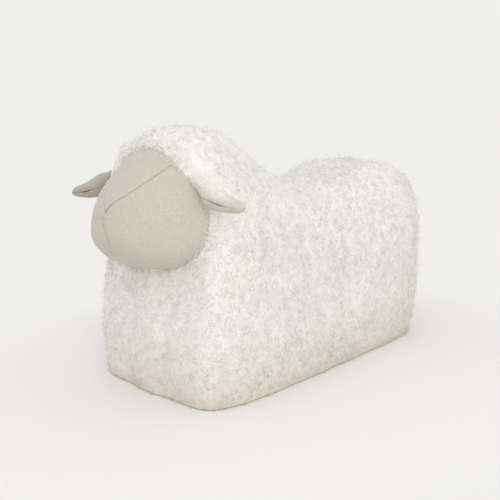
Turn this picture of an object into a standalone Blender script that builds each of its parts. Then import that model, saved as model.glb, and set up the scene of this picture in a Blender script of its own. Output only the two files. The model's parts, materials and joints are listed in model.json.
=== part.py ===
"""Lamb-shaped footstool: a padded plywood box under a curly pile cover, with a stuffed
fabric face and two flap ears.

Metres, +Z up. The lamb looks along -Y and its left side is +X. The pieces are placed from the
middle of the base, and an empty that carries them all moves the middle of the whole length,
muzzle included, over the origin. Run it with: blender --background --python part.py
"""

import math

import bmesh
import bpy
import numpy as np
from mathutils import Matrix, Vector
from mathutils.bvhtree import BVHTree

# Clearances
GAP = 0.0003
PAD_CLEARANCE = 0.0010
OVERRUN = 0.02
THROUGH = 1.0

# Outline of the pile cover
HALF_LENGTH = 0.298
HALF_WIDTH = 0.152
CROWN_HEIGHT = 0.402
SEAT_HEIGHT = 0.309
RUMP_HEIGHT = 0.345
STRIP_HALF_WIDTH = 0.040
HEAD_NARROWING = 0.020
HEAD_DEPTH = 0.182
HEAD_BLEND_HEIGHT = 0.160
HEAD_REAR = -0.020
HEAD_BLEND_LENGTH = 0.140
COVER_THICKNESS = 0.012
STRIP_CROWN = 0.005

# Lengths of the middle strip's chest-to-nape and rump panels, from the ends of the cover
HEAD_PANEL_LENGTH = 0.238
RUMP_PANEL_LENGTH = 0.093

# Feet and the layers under the base
GLIDE_HEIGHT = 0.005
GLIDE_RADIUS = 0.013
GLIDE_INSET = 0.062
GLIDE_DISH = 0.0025
GLIDE_DISH_RADIUS = 0.006
GLIDE_EDGE = 0.0013
GLIDE_SIDES = 20
DUST_THICKNESS = 0.001
DUST_MARGIN = 0.018
HEM_THICKNESS = 0.001
HEM_WIDTH = 0.026

# Plywood box and its softwood blocks, and the padding that the outline leaves over them
BOARD = 0.012
SIDE_MARGIN = 0.052
FRONT_MARGIN = 0.062
REAR_MARGIN = 0.054
SEAT_PAD = 0.051
HEAD_PAD = 0.065
HEAD_BOARD_HALF_WIDTH = 0.045
HEAD_BOARD_CORNER = 0.020
HEAD_BOARD_CORNER_STEPS = 4
BLOCK = 0.032

# Wood screws
SCREW_LENGTH = 0.030
SCREW_RADIUS = 0.002
SCREW_HEAD_RADIUS = 0.004
SCREW_HEAD_DEPTH = 0.0025
SCREW_TIP = 0.004
GLIDE_SCREW_LENGTH = 0.012
GLIDE_SCREW_RADIUS = 0.0015
GLIDE_SCREW_HEAD_RADIUS = 0.0035
GLIDE_SCREW_HEAD_DEPTH = 0.0015
SCREW_SIDES = 8

# Staples through the dust cover and the hem
STAPLE_WIRE = 0.0009
STAPLE_CROWN = 0.010
STAPLE_LEG = 0.009
STAPLE_INSET = 0.024
STAPLES_ALONG_SIDE = 2
STAPLES_ALONG_END = 2

# Lengths of the head's and the rump's foam, from the ends of the cover
HEAD_FOAM_LENGTH = 0.188
RUMP_FOAM_LENGTH = 0.133

# Face, placed from the crown, the flanks and the front of the cover
FACE_BELOW_CROWN = 0.125
FACE_SIDE_MARGIN = 0.011
FACE_RISE = 0.090
FACE_DROP = 0.084
FACE_RIM_DEPTH = 0.034
FACE_RIM_SWEEP = 0.022
FACE_BROW_SWEEP = 0.004
FACE_SKIRT = 0.006
FACE_FILLING_RECESS = 0.002
FACE_FABRIC = 0.0025
MUZZLE_REACH = 0.102
MUZZLE_DROP = 0.019
NOSE_RISE = 0.018
WEDGE_OVERHANG = 0.005
WEDGE_HALF_WIDTH = 0.062
FACE_TURNS = 40
FACE_RINGS = 9
FACE_TOP_POWER = 1.6
FACE_LOW_POWER = 2.7
FACE_SWEEP_POWER = 1.5
BROW_POWER = 1.0
SIDE_POWER = 0.76
CHIN_POWER = 0.42

# Seams that run up from the nose on both sides of the forehead, as shares of WEDGE_HALF_WIDTH
# and of the height from the nose to the top of the wedge
WEDGE_SHARES = (
    (0.10, 0.10),
    (0.24, 0.19),
    (0.42, 0.29),
    (0.63, 0.43),
    (0.79, 0.56),
    (0.90, 0.69),
    (0.97, 0.84),
    (1.00, 1.00),
)

# Ears
EAR_TURN = 0.50
EAR_SEAM_OFFSET = -0.003
EAR_SEAM = (-0.62, -0.20, 0.757)
EAR_DIRECTION = (0.970, -0.053, -0.232)
EAR_LENGTH = 0.095
EAR_HALF_WIDTH = 0.0222
EAR_TAPER = 0.70
EAR_SAG = 0.004
EAR_ROOT_RADIUS = 0.0042
EAR_ROOT_HALF_LENGTH = 0.0200
EAR_FABRIC = 0.0022
EAR_LINING = 0.0018
EAR_CURL_RADIUS = 0.0060
EAR_BACK_START = 0.0017
EAR_LINING_START = 0.010
EAR_CLEARANCE = 0.0008
EAR_SPANS = 12
EAR_CURL_STEPS = 6
EAR_LIP_SHARE = 0.35
EAR_TWIST_RATE = 2.5
EAR_BAR_END_SHARE = 0.6
EAR_BAR_SIDES = 12

# Where the swelling of the curl starts and how much it turns along the ear, as shares of half a turn
EAR_CURL_SHARES = (0.28, 0.64)

# Points of the side outline, from the floor in front, over the head, to the floor behind.
# Each is a share of HALF_LENGTH, and a share of the height that its row names.
CHEST_SHARES = (
    (-1.026, 0.0),
    (-1.022, 0.174),
    (-0.993, 0.348),
    (-0.966, 0.498),
    (-0.960, 0.647),
    (-0.966, 0.771),
    (-0.973, 0.876),
    (-0.899, 0.965),
    (-0.745, 1.0),
)
NAPE_SHARES = (
    (-0.577, 0.87),
    (-0.436, 0.55),
    (-0.295, 0.27),
    (-0.117, 0.075),
    (0.100, 0.0),
)
LOIN_SHARES = (
    (0.319, 0.25),
    (0.520, 0.75),
    (0.705, 1.0),
)
RUMP_SHARES = (
    (0.839, 0.96),
    (0.926, 0.855),
    (0.970, 0.696),
    (0.993, 0.493),
    (1.0, 0.246),
    (0.987, 0.0),
)
STEPS_PER_POINT = 2
FLANK_STEPS = 8
BOXY_POWER = 7.5
ROUND_POWER = 2.5
HEAD_POWER_DROP = 0.35
FOOT_POWER_DROP = 2.2
FOOT_SHARE = 0.26
ROUNDING_SHARES = (0.44, 0.70)

# Levels of the layers under the base, from the floor up
DUST_LOW = GLIDE_HEIGHT + GAP
DUST_HIGH = DUST_LOW + DUST_THICKNESS
HEM_LOW = DUST_HIGH + GAP
HEM_HIGH = HEM_LOW + HEM_THICKNESS
BASE_LOW = HEM_HIGH + GAP
BASE_HIGH = BASE_LOW + BOARD
BOX_FLOOR = BASE_HIGH + GAP
CORE_INSET = COVER_THICKNESS + GAP

# Seams across the middle strip, and joints across the foam
NAPE_SEAM = HEAD_PANEL_LENGTH - HALF_LENGTH
RUMP_SEAM = HALF_LENGTH - RUMP_PANEL_LENGTH
NECK_JOINT = HEAD_FOAM_LENGTH - HALF_LENGTH
RUMP_JOINT = HALF_LENGTH - RUMP_FOAM_LENGTH

# Faces of the plywood box
BOX_HALF_WIDTH = HALF_WIDTH - SIDE_MARGIN
BOX_FRONT = FRONT_MARGIN - HALF_LENGTH
BOX_REAR = HALF_LENGTH - REAR_MARGIN
SEAT_BOARD_TOP = SEAT_HEIGHT - COVER_THICKNESS - SEAT_PAD
HEAD_BOARD_TOP = CROWN_HEIGHT - COVER_THICKNESS - HEAD_PAD
WALL_TOP = SEAT_BOARD_TOP - BOARD - GAP

# Places on the face
HEAD_FOOT = CROWN_HEIGHT - HEAD_DEPTH
FACE_HALF_WIDTH = HALF_WIDTH - HEAD_NARROWING - FACE_SIDE_MARGIN
FACE_CENTRE = CROWN_HEIGHT - FACE_BELOW_CROWN
FACE_RIM = FACE_RIM_DEPTH - HALF_LENGTH
FACE_SKIRT_BACK = FACE_RIM + FACE_SKIRT
FACE_FILLING_BACK = FACE_SKIRT_BACK + FACE_FILLING_RECESS
MUZZLE_TIP = FACE_RIM - MUZZLE_REACH
MUZZLE_LEVEL = FACE_CENTRE - MUZZLE_DROP
NOSE_LEVEL = MUZZLE_LEVEL + NOSE_RISE
WEDGE_TOP = FACE_CENTRE + FACE_RISE + WEDGE_OVERHANG


def clear_scene():
    for old in list(bpy.data.objects):
        bpy.data.objects.remove(old, do_unlink=True)


def make_material(name, colour, roughness, metallic=0.0):
    material = bpy.data.materials.new(name)
    material.use_nodes = True
    shader = material.node_tree.nodes["Principled BSDF"]
    shader.inputs["Base Color"].default_value = (*colour, 1.0)
    shader.inputs["Roughness"].default_value = roughness
    shader.inputs["Metallic"].default_value = metallic
    return material


def make_materials():
    return {
        "pile": make_material("cream_pile", (0.80, 0.79, 0.74), 0.95),
        "face": make_material("beige_suede", (0.62, 0.56, 0.49), 0.9),
        "foam": make_material("foam", (0.86, 0.80, 0.60), 0.9),
        "fibre": make_material("fibre_filling", (0.90, 0.90, 0.90), 0.95),
        "plywood": make_material("plywood", (0.62, 0.44, 0.26), 0.6),
        "softwood": make_material("softwood", (0.70, 0.52, 0.32), 0.6),
        "lining": make_material("black_lining", (0.03, 0.03, 0.03), 0.9),
        "glide": make_material("black_glide", (0.02, 0.02, 0.02), 0.45),
        "steel": make_material("zinc_steel", (0.60, 0.60, 0.62), 0.35, 1.0),
    }


def object_from(name, shape, material=None):
    """Writes the bmesh to a new object. Without a material it is a cutter, left out of a render."""
    bmesh.ops.recalc_face_normals(shape, faces=shape.faces)
    mesh = bpy.data.meshes.new(name)
    shape.to_mesh(mesh)
    shape.free()
    made = bpy.data.objects.new(name, mesh)
    bpy.context.scene.collection.objects.link(made)
    if material is None:
        made.hide_render = True
        made.display_type = "WIRE"
    else:
        mesh.materials.append(material)
    return made


def combine(target, other, operation, solver="EXACT"):
    """Adds a live Boolean to the target: DIFFERENCE, INTERSECT or UNION."""
    step = target.modifiers.new(operation.lower() + "_" + other.name, "BOOLEAN")
    step.operation = operation
    step.solver = solver
    step.object = other


def box_shape(low, high):
    shape = bmesh.new()
    bmesh.ops.create_cube(shape, size=1.0)
    low, high = Vector(low), Vector(high)
    middle, size = (low + high) / 2, high - low
    bmesh.ops.scale(shape, vec=size, verts=shape.verts)
    bmesh.ops.translate(shape, vec=middle, verts=shape.verts)
    return shape


def prism_shape(outline, axis, start, stop):
    """Extrudes a closed outline of (a, b) points along an axis: Y takes (x, z), Z takes (x, y)."""
    shape = bmesh.new()
    if axis == "Y":
        corners = [shape.verts.new((a, start, b)) for a, b in outline]
        travel = Vector((0, stop - start, 0))
    else:
        corners = [shape.verts.new((a, b, start)) for a, b in outline]
        travel = Vector((0, 0, stop - start))
    cap = shape.faces.new(corners)
    swept = bmesh.ops.extrude_face_region(shape, geom=[cap])
    moved = [v for v in swept["geom"] if isinstance(v, bmesh.types.BMVert)]
    bmesh.ops.translate(shape, vec=travel, verts=moved)
    return shape


def smooth_step(value):
    value = np.clip(value, 0.0, 1.0)
    return value * value * (3 - 2 * value)


def outline_points():
    """(y, z) points of the side outline, as Catmull-Rom curves through its named shares."""
    knots = [(y * HALF_LENGTH, HEM_LOW + z * (CROWN_HEIGHT - HEM_LOW)) for y, z in CHEST_SHARES]
    knots += [(y * HALF_LENGTH, SEAT_HEIGHT + z * (CROWN_HEIGHT - SEAT_HEIGHT)) for y, z in NAPE_SHARES]
    knots += [(y * HALF_LENGTH, SEAT_HEIGHT + z * (RUMP_HEIGHT - SEAT_HEIGHT)) for y, z in LOIN_SHARES]
    knots += [(y * HALF_LENGTH, HEM_LOW + z * (RUMP_HEIGHT - HEM_LOW)) for y, z in RUMP_SHARES]
    knots = np.array(knots)
    ends = [2 * knots[0] - knots[1], 2 * knots[-1] - knots[-2]]
    knots = np.vstack([ends[0], knots, ends[1]])
    points = []
    for first in range(len(knots) - 3):
        a, b, c, d = knots[first : first + 4]
        for t in np.arange(STEPS_PER_POINT) / STEPS_PER_POINT:
            bend = (2 * a - 5 * b + 4 * c - d) * t**2 + (3 * b - a - 3 * c + d) * t**3
            points.append((2 * b + (c - a) * t + bend) / 2)
    points.append(knots[-2])
    return np.array(points)


def inset_outline(inset):
    """The side outline moved inwards, square to itself, with its ends kept on the hem's level."""
    points = outline_points()
    along = np.gradient(points, axis=0)
    along /= np.linalg.norm(along, axis=1)[:, None]
    inwards = np.column_stack([along[:, 1], -along[:, 0]])
    points = points + inset * inwards
    points[[0, -1], 1] = HEM_LOW
    return points


def headness(y, z):
    """1 in the head and 0 in the body, with a smooth change between."""
    up = smooth_step((z - HEAD_FOOT) / HEAD_BLEND_HEIGHT)
    forward = smooth_step((HEAD_REAR - y) / HEAD_BLEND_LENGTH)
    return up * forward


def body_shape(inset):
    """The whole padded form, as one closed solid lying inside the cover's outline by the inset.

    Its curved faces are triangles that run the same way at every inset, so that forms nest evenly.
    Each side is a fan of curves from the middle of its lower edge to the side outline, where
    it meets a strip of even width that runs over the middle.
    """
    outline = inset_outline(inset + STRIP_CROWN)
    full = inset_outline(STRIP_CROWN)
    foot = np.array([0.0, HEM_LOW])
    lift = np.arctan2(full[:, 1] - HEM_LOW, np.abs(full[:, 0])) / (math.pi / 2)
    boxy, round_ = ROUNDING_SHARES
    power = BOXY_POWER + (ROUND_POWER - BOXY_POWER) * smooth_step((lift - boxy) / (round_ - boxy))
    power = power - FOOT_POWER_DROP * (1 - smooth_step(lift / FOOT_SHARE))
    power = power - HEAD_POWER_DROP * headness(full[:, 0], full[:, 1])
    rows = []
    for step in range(1, FLANK_STEPS + 1):
        turn = math.pi / 2 * step / FLANK_STEPS
        reach = math.sin(turn) ** (2 / power)
        inner = max(math.cos(turn), 0.0) ** (2 / power)
        if step == FLANK_STEPS:
            inner = inner * 0
        yz = foot + reach[:, None] * (outline - foot)
        level = foot + reach[:, None] * (full - foot)
        wide = HALF_WIDTH - inset - HEAD_NARROWING * headness(level[:, 0], level[:, 1])
        x = STRIP_HALF_WIDTH + (wide - STRIP_HALF_WIDTH) * inner
        rows.append(np.column_stack([x, yz]))
    crest = inset_outline(inset + STRIP_CROWN / 4)
    rows.append(np.column_stack([np.full(len(crest), STRIP_HALF_WIDTH / 2), crest]))
    centre = np.column_stack([np.zeros(len(outline)), inset_outline(inset)])
    mirrored = [row * np.array([-1, 1, 1]) for row in reversed(rows)]
    shape = bmesh.new()
    grid = [[shape.verts.new(point) for point in row] for row in [*rows, centre, *mirrored]]
    poles = [shape.verts.new((side * (HALF_WIDTH - inset), *foot)) for side in (1, -1)]
    for near, far in zip(grid, grid[1:]):
        for i in range(len(near) - 1):
            shape.faces.new((near[i], near[i + 1], far[i + 1], far[i]))
    for row, pole in ((grid[0], poles[0]), (grid[-1], poles[1])):
        for i in range(len(row) - 1):
            shape.faces.new((pole, row[i], row[i + 1]))
    bmesh.ops.triangulate(shape, faces=shape.faces, quad_method="FIXED")
    front = [row[0] for row in grid]
    rear = [row[-1] for row in reversed(grid)]
    shape.faces.new([poles[0], *front, poles[1], *rear])
    return shape


def deepened(shape):
    """Runs the flat underside of a form down past the floor, so that the form cuts right through."""
    under = [face for face in shape.faces if all(abs(v.co.z - HEM_LOW) < GAP / 2 for v in face.verts)]
    swept = bmesh.ops.extrude_face_region(shape, geom=under)
    bmesh.ops.delete(shape, geom=[f for f in under if f.is_valid], context="FACES_ONLY")
    moved = [v for v in swept["geom"] if isinstance(v, bmesh.types.BMVert)]
    bmesh.ops.translate(shape, vec=(0, 0, -OVERRUN), verts=moved)
    return shape


def face_outline(turn, inset=0.0):
    """(x, z) of the face's opening in the direction of turn, pointed above and full below."""
    across, up = math.cos(turn), math.sin(turn)
    power = FACE_TOP_POWER if up > 0 else FACE_LOW_POWER
    scale = (abs(across) ** power + abs(up) ** power) ** (-1 / power)
    rise = FACE_RISE if up > 0 else FACE_DROP
    return (FACE_HALF_WIDTH - inset) * across * scale, FACE_CENTRE + (rise - inset) * up * scale


def face_prism(inset, start, stop):
    outline = [face_outline(2 * math.pi * i / FACE_TURNS, inset) for i in range(FACE_TURNS)]
    return prism_shape(outline, "Y", start, stop)


def bulge_power(up):
    """How steeply the muzzle stands up from its rim: gently at the brow and steepest at the chin."""
    if up > 0:
        return SIDE_POWER + (BROW_POWER - SIDE_POWER) * up
    return SIDE_POWER - (CHIN_POWER - SIDE_POWER) * up


def face_shape(inset, back):
    """The stuffed face as one closed solid: a bulging muzzle on a straight skirt that ends at back."""
    rings = []
    for ring in range(FACE_RINGS, -1, -1):
        reach = math.sin(math.pi / 2 * ring / FACE_RINGS)
        points = []
        for i in range(FACE_TURNS):
            turn = 2 * math.pi * i / FACE_TURNS
            up = math.sin(turn)
            x, z = face_outline(turn, inset)
            rim = FACE_RIM - FACE_RIM_SWEEP * abs(up) ** FACE_SWEEP_POWER - FACE_BROW_SWEEP * max(up, 0)
            bulge = max(1 - reach * reach, 0.0) ** bulge_power(up)
            y = rim + (MUZZLE_TIP + inset - rim) * bulge
            points.append((reach * x, y, MUZZLE_LEVEL + reach * (z - MUZZLE_LEVEL)))
        rings.append(points)
    skirt = [(x, back, z) for x, _, z in rings[0]]
    shape = bmesh.new()
    loops = [[shape.verts.new(p) for p in points] for points in [skirt, *rings[:-1]]]
    tip = shape.verts.new(rings[-1][0])
    for near, far in zip(loops, loops[1:]):
        for i in range(FACE_TURNS):
            j = (i + 1) % FACE_TURNS
            shape.faces.new((near[i], near[j], far[j], far[i]))
    for i in range(FACE_TURNS):
        shape.faces.new((loops[-1][i], loops[-1][(i + 1) % FACE_TURNS], tip))
    shape.faces.new(loops[0])
    return shape


def wedge_prism(margin):
    """A prism along Y over the forehead, between the two seams that run up from the nose."""
    height = WEDGE_TOP - NOSE_LEVEL
    half = [(0.0, NOSE_LEVEL - margin)]
    for across, up in WEDGE_SHARES:
        half.append((across * WEDGE_HALF_WIDTH + margin, NOSE_LEVEL + up * height - margin))
    half.append((WEDGE_HALF_WIDTH + margin, WEDGE_TOP + OVERRUN))
    outline = half + [(-x, z) for x, z in reversed(half[1:])]
    return prism_shape(outline, "Y", MUZZLE_TIP - OVERRUN, FACE_SKIRT_BACK + OVERRUN)


def cover_panel(name, low, high, tools, material):
    """One panel of the pile cover: the shell between the outer form and the core, inside a box."""
    panel = object_from(name, body_shape(0.0), material)
    window = object_from(name + "_window", box_shape(low, high))
    combine(panel, window, "INTERSECT")
    combine(panel, tools["core_hollow"], "DIFFERENCE")
    if low[1] < BOX_FRONT:
        combine(panel, tools["face_opening"], "DIFFERENCE")
    return panel


def make_cover(tools, materials):
    pile = materials["pile"]
    seam = STRIP_HALF_WIDTH
    half = GAP / 2
    for side, name in ((1, "cover_left_side"), (-1, "cover_right_side")):
        ends = sorted((side * (seam + half), side * THROUGH))
        cover_panel(name, (ends[0], -THROUGH, -OVERRUN), (ends[1], THROUGH, THROUGH), tools, pile)
    across = (-seam + half, seam - half)
    strips = (
        ("cover_chest", (-THROUGH, BOX_FRONT + OVERRUN), (-OVERRUN, FACE_CENTRE - half)),
        ("cover_head", (-THROUGH, NAPE_SEAM - half), (FACE_CENTRE + half, THROUGH)),
        ("cover_back", (NAPE_SEAM + half, RUMP_SEAM - half), (-OVERRUN, THROUGH)),
        ("cover_rump", (RUMP_SEAM + half, THROUGH), (-OVERRUN, THROUGH)),
    )
    for name, along, height in strips:
        low = (across[0], along[0], height[0])
        high = (across[1], along[1], height[1])
        cover_panel(name, low, high, tools, pile)


def make_face(materials):
    fabric = materials["face"]
    inner = object_from("face_hollow", face_shape(GAP + FACE_FABRIC, FACE_SKIRT_BACK + OVERRUN))
    wedge = object_from("forehead_wedge", wedge_prism(0.0))
    wedge_hole = object_from("forehead_wedge_clearance", wedge_prism(GAP))
    forehead = object_from("face_forehead", face_shape(GAP, FACE_SKIRT_BACK), fabric)
    combine(forehead, inner, "DIFFERENCE")
    combine(forehead, wedge, "INTERSECT")
    for side, name in ((1, "face_left_cheek"), (-1, "face_right_cheek")):
        ends = sorted((side * GAP / 2, side * THROUGH))
        half = object_from(name + "_half", box_shape((ends[0], -THROUGH, 0), (ends[1], THROUGH, THROUGH)))
        cheek = object_from(name, face_shape(GAP, FACE_SKIRT_BACK), fabric)
        combine(cheek, half, "INTERSECT")
        combine(cheek, inner, "DIFFERENCE")
        combine(cheek, wedge_hole, "DIFFERENCE")
    filling_inset = 2 * GAP + FACE_FABRIC
    object_from("face_filling", face_shape(filling_inset, FACE_FILLING_BACK), materials["fibre"])


def padding(name, low, high, tools, material, cutters=()):
    """A pad cut from the core form by a box, and then by what it fits around.

    The face's recess grazes the pads' curved sides, which only the MANIFOLD solver cuts cleanly.
    """
    pad = object_from(name, body_shape(COVER_THICKNESS + PAD_CLEARANCE), material)
    window = object_from(name + "_window", box_shape(low, high))
    combine(pad, window, "INTERSECT", "MANIFOLD")
    for cutter in cutters:
        combine(pad, tools[cutter], "DIFFERENCE", "MANIFOLD")
    return pad


def make_padding(tools, materials):
    wide = BOX_HALF_WIDTH + GAP
    under_lid, lid = SEAT_BOARD_TOP, SEAT_BOARD_TOP + GAP
    front, rear = BOX_FRONT - GAP, BOX_REAR + GAP
    far = THROUGH
    round_face = ("face_recess",)
    round_board = ("head_board_hole", "face_recess")
    pads = (
        ("left_side_foam", (wide, front, BOX_FLOOR), (far, rear, under_lid), round_face),
        ("right_side_foam", (-far, front, BOX_FLOOR), (-wide, rear, under_lid), round_face),
        ("chest_foam", (-far, -far, BOX_FLOOR), (far, front - GAP, under_lid), round_face),
        ("rear_foam", (-far, rear + GAP, BOX_FLOOR), (far, far, under_lid), ()),
        ("head_foam", (-far, -far, lid), (far, NECK_JOINT - GAP, far), round_board),
        ("seat_foam", (-far, NECK_JOINT, lid), (far, RUMP_JOINT - GAP, far), ()),
        ("rump_foam", (-far, RUMP_JOINT, lid), (far, far, far), ()),
    )
    for name, low, high, cutters in pads:
        padding(name, low, high, tools, materials["foam"], cutters)


def block_places():
    """(name, x, y) of the middle of each corner block, inside the plywood box."""
    x = BOX_HALF_WIDTH - BOARD - GAP - BLOCK / 2
    front = BOX_FRONT + BOARD + GAP + BLOCK / 2
    rear = BOX_REAR - BOARD - GAP - BLOCK / 2
    return (
        ("front_left_block", x, front),
        ("front_right_block", -x, front),
        ("rear_left_block", x, rear),
        ("rear_right_block", -x, rear),
    )


def screw_profile(length, radius, head_radius, head_depth, clearance):
    """(distance below the head's face, radius) along a countersunk screw, with or without clearance."""
    return (
        (-clearance, head_radius + 2 * clearance),
        (head_depth + clearance, radius + clearance),
        (length - SCREW_TIP, radius + clearance),
        (length + clearance, radius / 4 + clearance),
    )


def add_turned(shape, place, direction, profile, sides):
    """Adds a closed turned solid to the bmesh, its profile running from place along direction."""
    frame = Vector(direction).to_track_quat("Z", "Y").to_matrix()
    loops = []
    for depth, radius in profile:
        ring = []
        for i in range(sides):
            turn = 2 * math.pi * i / sides
            local = Vector((radius * math.cos(turn), radius * math.sin(turn), depth))
            ring.append(shape.verts.new(Vector(place) + frame @ local))
        loops.append(ring)
    for near, far in zip(loops, loops[1:]):
        for i in range(sides):
            j = (i + 1) % sides
            shape.faces.new((near[i], near[j], far[j], far[i]))
    shape.faces.new(loops[0])
    shape.faces.new(loops[-1])


def frame_screws():
    """(name, place of the head's face, direction) of each wood screw of the box."""
    screws = []
    for block, x, y in block_places():
        corner = block.removesuffix("_block")
        screws.append((corner + "_base_screw", (x, y, BASE_LOW + GAP), (0, 0, 1)))
        screws.append((corner + "_seat_screw", (x, y, SEAT_BOARD_TOP - GAP), (0, 0, -1)))
    return screws


def glide_places():
    x = HALF_WIDTH - GLIDE_INSET
    y = HALF_LENGTH - GLIDE_INSET
    return (
        ("front_left_glide", x, -y),
        ("front_right_glide", -x, -y),
        ("rear_left_glide", x, y),
        ("rear_right_glide", -x, y),
    )


def all_screws():
    """(name, place, direction, profile sizes) of every screw in the footstool."""
    frame_sizes = (SCREW_LENGTH, SCREW_RADIUS, SCREW_HEAD_RADIUS, SCREW_HEAD_DEPTH)
    glide_sizes = (GLIDE_SCREW_LENGTH, GLIDE_SCREW_RADIUS, GLIDE_SCREW_HEAD_RADIUS, GLIDE_SCREW_HEAD_DEPTH)
    screws = [(name, place, direction, frame_sizes) for name, place, direction in frame_screws()]
    for name, x, y in glide_places():
        screws.append((name + "_screw", (x, y, GLIDE_DISH + GAP), (0, 0, 1), glide_sizes))
    return screws


def make_screws(tools, materials):
    holes = bmesh.new()
    for name, place, direction, sizes in all_screws():
        screw = bmesh.new()
        add_turned(screw, place, direction, screw_profile(*sizes, 0.0), SCREW_SIDES)
        object_from(name, screw, materials["steel"])
        add_turned(holes, place, direction, screw_profile(*sizes, GAP), SCREW_SIDES)
    tools["screw_holes"] = object_from("screw_holes", holes)


def make_glides(tools, materials):
    for name, x, y in glide_places():
        shape = bmesh.new()
        edge, rim = GLIDE_EDGE, GLIDE_RADIUS
        profile = ((0.0, rim - edge), (edge, rim), (GLIDE_HEIGHT, rim))
        add_turned(shape, (x, y, 0.0), (0, 0, 1), profile, GLIDE_SIDES)
        glide = object_from(name, shape, materials["glide"])
        dish = bmesh.new()
        dish_profile = ((-OVERRUN, GLIDE_DISH_RADIUS), (GLIDE_DISH, GLIDE_DISH_RADIUS))
        add_turned(dish, (x, y, 0.0), (0, 0, 1), dish_profile, GLIDE_SIDES)
        combine(glide, object_from(name + "_dish", dish), "DIFFERENCE")
        combine(glide, tools["screw_holes"], "DIFFERENCE")


def plan_outline(inset):
    """(x, y) points of the form's lower edge, moved inwards, in order round the base."""
    shape = body_shape(inset)
    underside = max(shape.faces, key=lambda face: len(face.verts))
    points = [(v.co.x, v.co.y) for v in underside.verts]
    shape.free()
    return points


def make_base(tools, materials):
    inset = CORE_INSET
    base = object_from(
        "base_board", prism_shape(plan_outline(inset), "Z", BASE_LOW, BASE_HIGH), materials["plywood"]
    )
    for cutter in ("screw_holes", "staple_holes"):
        combine(base, tools[cutter], "DIFFERENCE")
    hem = object_from(
        "cover_hem", prism_shape(plan_outline(inset), "Z", HEM_LOW, HEM_HIGH), materials["lining"]
    )
    middle = prism_shape(plan_outline(inset + HEM_WIDTH), "Z", HEM_LOW - OVERRUN, HEM_HIGH + OVERRUN)
    combine(hem, object_from("hem_window", middle), "DIFFERENCE")
    dust = object_from(
        "dust_cover", prism_shape(plan_outline(DUST_MARGIN), "Z", DUST_LOW, DUST_HIGH), materials["lining"]
    )
    combine(hem, tools["staple_holes"], "DIFFERENCE")
    combine(dust, tools["staple_holes"], "DIFFERENCE")
    combine(dust, tools["screw_holes"], "DIFFERENCE")


def staple_places():
    """(x, y, crown direction) of each staple, in rows along the four edges of the base."""
    x_row = HALF_WIDTH - STAPLE_INSET
    y_row = HALF_LENGTH - STAPLE_INSET
    places = []
    for i in range(STAPLES_ALONG_SIDE):
        along = (i + 0.5) / STAPLES_ALONG_SIDE * 2 - 1
        y = along * (y_row - GLIDE_INSET)
        places += [(x_row, y, (0, 1)), (-x_row, y, (0, 1))]
    for i in range(STAPLES_ALONG_END):
        along = (i + 0.5) / STAPLES_ALONG_END * 2 - 1
        x = along * (x_row - GLIDE_INSET / 2)
        places += [(x, y_row, (1, 0)), (x, -y_row, (1, 0))]
    return places


def add_staple(shape, place, clearance):
    """Adds one staple: a crown under the dust cover, with two legs up into the base board."""
    x, y, (ax, ay) = place
    crown_low = DUST_LOW - GAP - STAPLE_WIRE
    half, wire, out = STAPLE_CROWN / 2, STAPLE_WIRE, clearance
    profile = (
        (-half - out, -out),
        (half + out, -out),
        (half + out, STAPLE_LEG + out),
        (half - wire - out, STAPLE_LEG + out),
        (half - wire - out, wire + out),
        (wire - half + out, wire + out),
        (wire - half + out, STAPLE_LEG + out),
        (-half - out, STAPLE_LEG + out),
    )
    loops = []
    for side in (-wire / 2 - out, wire / 2 + out):
        corners = [(x + a * ax + side * ay, y + a * ay + side * ax, crown_low + u) for a, u in profile]
        loops.append([shape.verts.new(corner) for corner in corners])
    near, far = loops
    for i in range(len(profile)):
        j = (i + 1) % len(profile)
        shape.faces.new((near[i], near[j], far[j], far[i]))
    shape.faces.new(near)
    shape.faces.new(far)


def make_staples(tools, materials):
    holes = bmesh.new()
    for number, place in enumerate(staple_places(), 1):
        staple = bmesh.new()
        add_staple(staple, place, 0.0)
        object_from(f"hem_staple_{number}", staple, materials["steel"])
        add_staple(holes, place, GAP)
    tools["staple_holes"] = object_from("staple_holes", holes)


def make_box(tools, materials):
    plywood = materials["plywood"]
    inner_x = BOX_HALF_WIDTH - BOARD
    lid = (-BOX_HALF_WIDTH, BOX_FRONT + BOARD + GAP, SEAT_BOARD_TOP - BOARD)
    seat = object_from("seat_board", box_shape(lid, (BOX_HALF_WIDTH, BOX_REAR, SEAT_BOARD_TOP)), plywood)
    rear_low = (-BOX_HALF_WIDTH, BOX_REAR - BOARD, BOX_FLOOR)
    object_from("rear_board", box_shape(rear_low, (BOX_HALF_WIDTH, BOX_REAR, WALL_TOP)), plywood)
    for side, name in ((1, "left_board"), (-1, "right_board")):
        ends = sorted((side * inner_x, side * BOX_HALF_WIDTH))
        low = (ends[0], BOX_FRONT + BOARD + GAP, BOX_FLOOR)
        object_from(name, box_shape(low, (ends[1], BOX_REAR - BOARD - GAP, WALL_TOP)), plywood)
    object_from("front_board", front_board_shape(0.0), plywood)
    blocks = []
    for name, x, y in block_places():
        low = (x - BLOCK / 2, y - BLOCK / 2, BOX_FLOOR)
        high = (x + BLOCK / 2, y + BLOCK / 2, WALL_TOP)
        blocks.append(object_from(name, box_shape(low, high), materials["softwood"]))
    for drilled in (seat, *blocks):
        combine(drilled, tools["screw_holes"], "DIFFERENCE")


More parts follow.
